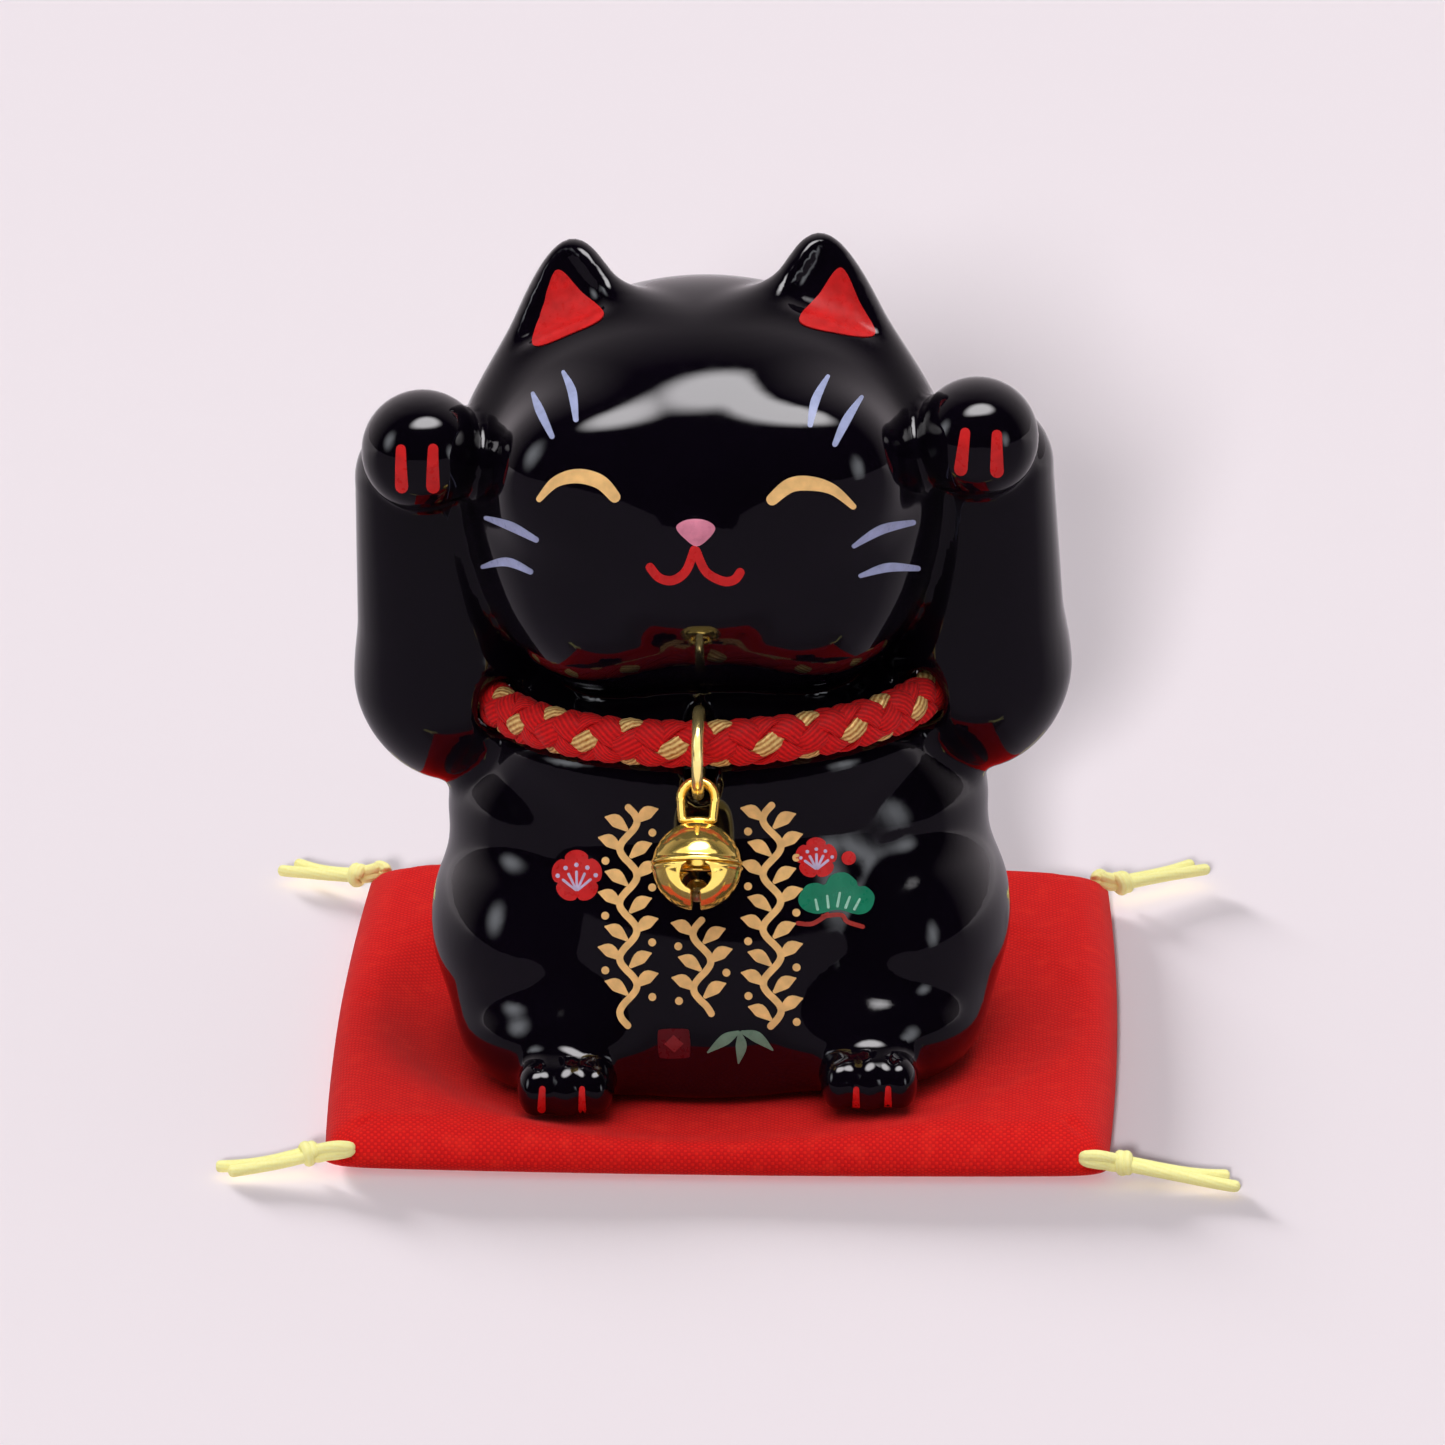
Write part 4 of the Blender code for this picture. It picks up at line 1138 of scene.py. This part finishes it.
def outline_half(along):
    """Half width of the cushion at a place along it: the sides bow out a little."""
    return CUSHION_HALF - CUSHION_BULGE * along**2


def under_cat(x, y):
    """1 under the cat, falling to 0 past its base."""
    reach = math.hypot(x / SEAT_HALF_X, (y - SEAT_MIDDLE_Y) / SEAT_HALF_Y)
    share = min(1, max(0, (1 + DENT_EDGE - reach) / DENT_EDGE))
    return share * share * (3 - 2 * share)


def cushion_point(u, v, rise):
    """A place on the upper or lower sheet of the cushion, in millimetres."""
    x, y = u * outline_half(v), v * outline_half(u)
    swell = math.sqrt(max(0, (1 - abs(u) ** EDGE_POWER) * (1 - abs(v) ** EDGE_POWER)))
    height = SEAM_Z + (rise - SEAM_Z) * swell
    if rise > SEAM_Z:
        seat = SEAT_Z + math.tan(LEAN) * x
        height += (min(height, seat) - height) * under_cat(x, y)
    return x, y, height


def cushion_mesh():
    """The closed cover: two sheets that share their edge. Gives points, faces and surface coordinates."""
    cells = CUSHION_CELLS
    ticks = [math.sin((2 * step / cells - 1) * math.pi / 2) for step in range(cells + 1)]
    points, index = [], {}
    for sheet, rise in ((1, CROWN_Z), (0, 0.0)):
        for row, v in enumerate(ticks):
            for column, u in enumerate(ticks):
                on_edge = row in (0, cells) or column in (0, cells)
                key = (column, row, 1 if on_edge else sheet)
                if key not in index:
                    index[key] = len(points)
                    points.append(cushion_point(u, v, rise))
    profile = np.array([cushion_point(u, 0.9, CROWN_Z) for u in ticks])[:, [0, 2]]
    run = np.concatenate([[0], np.cumsum(np.linalg.norm(np.diff(profile, axis=0), axis=1))])
    run -= run[-1] / 2
    faces, uv = [], []
    for sheet in (1, 0):
        for row, column in np.ndindex(cells, cells):
            corners = [(column, row), (column + 1, row), (column + 1, row + 1), (column, row + 1)]
            if not sheet:
                corners.reverse()
            faces.append(tuple(index.get((*at, sheet), index.get((*at, 1))) for at in corners))
            uv += [(run[c], run[r]) for c, r in corners]
    return np.array(points), faces, uv


def swollen(piece, points):
    """The cover's points after Blender's cloth has filled it, held under the cat and on the floor."""
    work = add_object("cloth_work", piece.data.copy())
    work.data.transform(Matrix.Scale(CLOTH_SCALE, 4))
    held = work.vertex_groups.new(name="held")
    for number, (x, y, z) in enumerate(points):
        weight = 1.0 if z < SEAM_Z + 0.05 else under_cat(x, y)
        held.add([number], weight, "REPLACE")
    cloth = work.modifiers.new("fill", "CLOTH")
    settings = cloth.settings
    settings.use_pressure = True
    settings.uniform_pressure_force = CLOTH_PRESSURE
    settings.effector_weights.gravity = 0
    settings.vertex_group_mass = "held"
    settings.quality = 5
    cloth.point_cache.frame_end = CLOTH_FRAMES
    scene = bpy.context.scene
    for frame_number in range(1, CLOTH_FRAMES + 1):
        scene.frame_set(frame_number)
    graph = bpy.context.evaluated_depsgraph_get()
    filled = work.evaluated_get(graph).data
    moved = np.empty(len(points) * 3, np.float32)
    filled.vertices.foreach_get("co", moved)
    scene.frame_set(1)
    bpy.data.objects.remove(work)
    return moved.reshape(-1, 3) / (CLOTH_SCALE * MM)


def add_cushion():
    points, faces, uv = cushion_mesh()
    piece = new_piece(
        "cushion_cover", points, faces, Matrix(), "cushion", weave_finish(), uv=uv
    )
    change = swollen(piece, points) - points
    length = np.linalg.norm(change, axis=1)
    limit = np.minimum(1, SWELL_LIMIT / np.maximum(length, 1e-9))
    free = 1 - np.array([under_cat(x, y) for x, y, _ in points])
    points = points + change * (limit * free)[:, None]
    points[:, 2] = np.maximum(points[:, 2], 0)
    piece.data.vertices.foreach_set("co", (points * MM).astype(np.float32).ravel())
    piece.data.update()
    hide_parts("cushion_top_cover", "cushion_bottom_cover")
    add_wadding(piece, points, faces)


def add_wadding(cover, points, faces):
    """The filling: the cover's own shape, drawn in under the cloth."""
    normals = np.empty(len(points) * 3, np.float32)
    cover.data.vertices.foreach_get("normal", normals)
    inner = points - normals.reshape(-1, 3) * WADDING_INSET
    finish = plain_finish(
        "wadding_finish", linear(216, 208, 192), linear(244, 240, 228), 1.2, 0.95, 0.0, 0.3
    )
    piece = new_piece("cushion_wadding", inner, faces, Matrix(), "cushion", finish)
    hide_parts("cushion_filling")


# ---------------- corner ties

TIE_RADIUS = 0.7
KNOT_X = 1.55
KNOT_RADII = (0.82, 0.78)
KNOT_LENGTH = 1.2
KNOT_WRAPS = 1.7
TIE_Z = 2.5
# name, corner, heading, spread of the tails, their reaches, droop, side of the loop and its length
TIES = (
    ("front_left", -1, -1, 192, 0.45, (9.2, 10.4), 1.2, 1, 4.6),
    ("front_right", 1, -1, -9, 1.15, (11.8, 13.4), 1.2, -1, 4.4),
    ("back_left", -1, 1, 152, 1.1, (10.2, 9.6), 0.8, -1, 3.4),
    ("back_right", 1, 1, 37, 0.8, (11.6, 12.2), 0.4, 1, 3.0),
)


def tie_lines(spread, reaches, droop, face, loop):
    """The lines of one tie: a loop sewn along the cushion's side, a knot and two tails."""
    end = KNOT_X - loop
    lines = []
    for lift in (-0.42, 0.42):
        # along the tie, to the side that the loop lies on, up
        strand = (
            (end, 1.05, 0.75),
            (end + 0.3, 1.3, 0.75 + lift * 0.6),
            (end + 0.32 * loop, 1.35, 0.75 + lift),
            (-0.5, 1.0, 0.55 + lift),
            (0.5, 0.5, 0.2 + lift),
            (KNOT_X, 0, 0.1 + lift * 0.6),
        )
        lines.append(smooth_line(np.array(strand) * (1, face, 1), 26))
    share = np.linspace(0, 1, 40)
    turn = 2 * math.pi * KNOT_WRAPS * share
    along = KNOT_X + (share - 0.5) * KNOT_LENGTH
    lines.append(np.column_stack([along, KNOT_RADII[0] * np.cos(turn), KNOT_RADII[1] * np.sin(turn)]))
    for side, reach in zip((1, -1), reaches):
        tail = []
        for share in np.linspace(0, 1, 7):
            away = side * (0.4 + spread * share**1.6)
            wave = 0.18 * math.sin(5 * share + side)
            tail.append((KNOT_X + reach * share, away + wave, -droop * math.sin(share * math.pi / 2)))
        lines.append(smooth_line(tail, 40))
    return lines


def add_ties():
    finish = thread_finish(
        "yellow_thread", linear(252, 243, 150), linear(255, 253, 186),
        rough=0.85, threads_mm=0.5, skew=0.25, ridge=0.12,
    )
    corner = CUSHION_HALF - CUSHION_BULGE + 0.3
    for name, side_x, side_y, heading, *shape in TIES:
        parts = []
        for line in tie_lines(*shape):
            ups = carried_ups(line, (0, 0, 1))
            parts.append(swept(line, ups, TIE_RADIUS, TIE_RADIUS, 12, scale=round_ends(len(line))))
        points, faces, uv = joined(parts)
        place = Matrix.Translation(Vector((side_x * corner, side_y * (corner - 0.6), TIE_Z)) * MM)
        place = place @ Matrix.Rotation(math.radians(heading), 4, "Z")
        piece = new_piece("tie_" + name, points, faces, place, "cushion", finish, uv=uv)
        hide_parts("corner_tie_" + name)


# ---------------- floor, light and surroundings


FLOOR_HALF = 6.0
FLOOR_PALE = (0.86, 0.78, 0.825)
FLOOR_DIM = (0.16, 0.14, 0.17)

ROOM_LIGHT = (1.0, 0.985, 1.0)
ROOM_STRENGTH = 0.3
ROOM_DARK = (0.004, 0.003, 0.005)
ROOM_PALE = (0.7, 0.62, 0.66)
ROOM_PALE_FROM = 0.8

LAMP_AIM = Vector((0, -0.01, 0.05))
COOL = (0.9, 0.93, 1)
WARM = (1, 0.96, 0.88)

# name, place it shines from, strength, width in degrees
SUNS = (
    ("overhead", (0.1, 0.12, 1.0), 1.35, 40),
    ("floor_shadow", (-0.06, -0.92, 0.36), 3.6, 5.5),
    ("cushion_shadow", (-0.5, 0.8, 0.24), 5.5, 13),
    ("fill", (-0.2, -0.45, 1.0), 1.35, 60),
)
# name, place in metres, watts, width and height in metres, colour, where it begins and ends to fade
PANELS = (
    ("top_softbox", (0.08, -0.3, 1.0), 19, (1.1, 0.5), (1, 0.97, 1), (0.22, 0.52)),
    ("left_softbox", (-0.85, -0.3, 0.42), 3.4, (0.5, 0.7), COOL, (0.02, 0.5)),
    ("right_softbox", (0.8, -0.55, 0.2), 1.9, (0.36, 0.6), COOL, (0.02, 0.5)),
    ("metal_front", (0, -1.2, 0.85), 46, (4.2, 2.5), WARM, None),
    ("metal_table", (0, -0.56, 0.004), 5.4, (1.6, 1.0), WARM, None),
)


def add_floor():
    """A pale floor that reflections see as dim in front of the figurine."""
    mesh = bpy.data.meshes.new("floor")
    corners = [(x * FLOOR_HALF, y * FLOOR_HALF, 0) for x, y in ((-1, -1), (1, -1), (1, 1), (-1, 1))]
    mesh.from_pydata(corners, [], [(0, 1, 2, 3)])
    floor = add_object("floor", mesh)
    finish = Finish("pale_floor", Roughness=0.9, Specular_IOR_Level=0.0)
    depth = finish.add("SeparateXYZ", {"Vector": finish.place}).outputs["Y"]
    mirrored = finish.blend_colours(finish.between(depth, 0, 0.8, -0.02, 0.2), FLOOR_DIM, FLOOR_PALE)
    seen = finish.add("LightPath").outputs["Is Glossy Ray"]
    mesh.materials.append(finish.drive(Base_Color=finish.blend_colours(seen, FLOOR_PALE, mirrored)))
    return floor


def add_surroundings():
    """Even light for matt surfaces, and for reflections a dark room that is pale behind the figurine."""
    world = bpy.data.worlds.new("studio")
    world.use_nodes = True
    bpy.context.scene.world = world
    nodes = Nodes(world.node_tree)
    even = nodes.tree.nodes["Background"]
    nodes.feed(even, {"Color": (*ROOM_LIGHT, 1), "Strength": ROOM_STRENGTH})
    place = nodes.add("TexCoord").outputs["Generated"]
    depth = nodes.add("SeparateXYZ", {0: place}).outputs["Y"]
    ramp = nodes.add("ValToRGB", {0: depth})
    front, back = ramp.color_ramp.elements
    front.position, front.color = 0.0, (*ROOM_DARK, 1)
    back.position, back.color = ROOM_PALE_FROM, (*ROOM_PALE, 1)
    dark = nodes.add("Background", {"Color": ramp.outputs[0], "Strength": 1.0})
    seen = nodes.add("LightPath").outputs["Is Glossy Ray"]
    mix = nodes.add("MixShader", {0: seen, 1: even.outputs[0], 2: dark.outputs[0]})
    nodes.feed(nodes.tree.nodes["World Output"], {"Surface": mix.outputs[0]})


def add_light(name, kind, location, power):
    """A lamp that looks at the figurine and isn't seen itself."""
    data = bpy.data.lights.new(name, kind)
    data.energy = power
    lamp = add_object(name, data)
    lamp.location = location
    lamp.rotation_euler = (lamp.location - LAMP_AIM).to_track_quat("Z", "Y").to_euler()
    lamp.visible_camera = False
    return lamp


def light_group(name, members):
    group = bpy.data.collections.new(name)
    for member in members:
        group.objects.link(member)
    return group


def soft_edged(lamp, full, reach):
    """Makes an area lamp fade from its middle to its edge, as a softbox's cloth does."""
    lamp.data.use_nodes = True
    nodes = Nodes(lamp.data.node_tree)
    place = nodes.add("NewGeometry").outputs["Parametric"]
    away = nodes.add("VectorMath", {0: place, 1: (0.5, 0.5, 0)}, operation="DISTANCE").outputs["Value"]
    fade = nodes.between(away, 1, 0, full, reach, interpolation_type="SMOOTHSTEP")
    nodes.feed(nodes.tree.nodes["Emission"], {"Strength": fade})


def add_lights(floor, brass_pieces):
    """Suns that light matt surfaces only, then panels that are seen only in reflections."""
    shown = [piece for piece in bpy.context.scene.objects if piece.type == "MESH" and piece is not floor]
    for name, place, strength, width in SUNS:
        sun = add_light(name, "SUN", place, strength)
        sun.data.angle = math.radians(width)
        sun.visible_glossy = False
        lit = [floor] if name.endswith("_shadow") else shown
        sun.light_linking.receiver_collection = light_group(name + "_receivers", lit)
        if name == "cushion_shadow":
            low = [piece for piece in shown if piece.name.startswith(("cushion_cover", "tie_"))]
            sun.light_linking.blocker_collection = light_group(name + "_casters", low)
    for name, place, watts, size, colour, fade in PANELS:
        panel = add_light(name, "AREA", place, watts)
        panel.data.color = colour
        panel.data.shape = "RECTANGLE"
        panel.data.size, panel.data.size_y = size
        panel.visible_diffuse = False
        if fade:
            soft_edged(panel, *fade)
        else:
            panel.light_linking.receiver_collection = light_group(name + "_receivers", brass_pieces)
    # The last panel lies on the floor and shines up.
    panel.rotation_euler = (math.pi, 0, 0)


def main():
    bpy.context.scene.view_settings.view_transform = "Standard"
    add_camera()
    add_painting(add_cat_skin())
    add_collar()
    brass_pieces = add_bell()
    add_cushion()
    add_ties()
    frame["nodes"]["bell_pellet"].data.materials[0] = plain_finish(
        "pellet_steel_finish", (0.42, 0.42, 0.44), (0.62, 0.62, 0.64), 1.0, 0.3, 1.0, 0.02
    )
    floor = add_floor()
    add_surroundings()
    add_lights(floor, brass_pieces)


main()
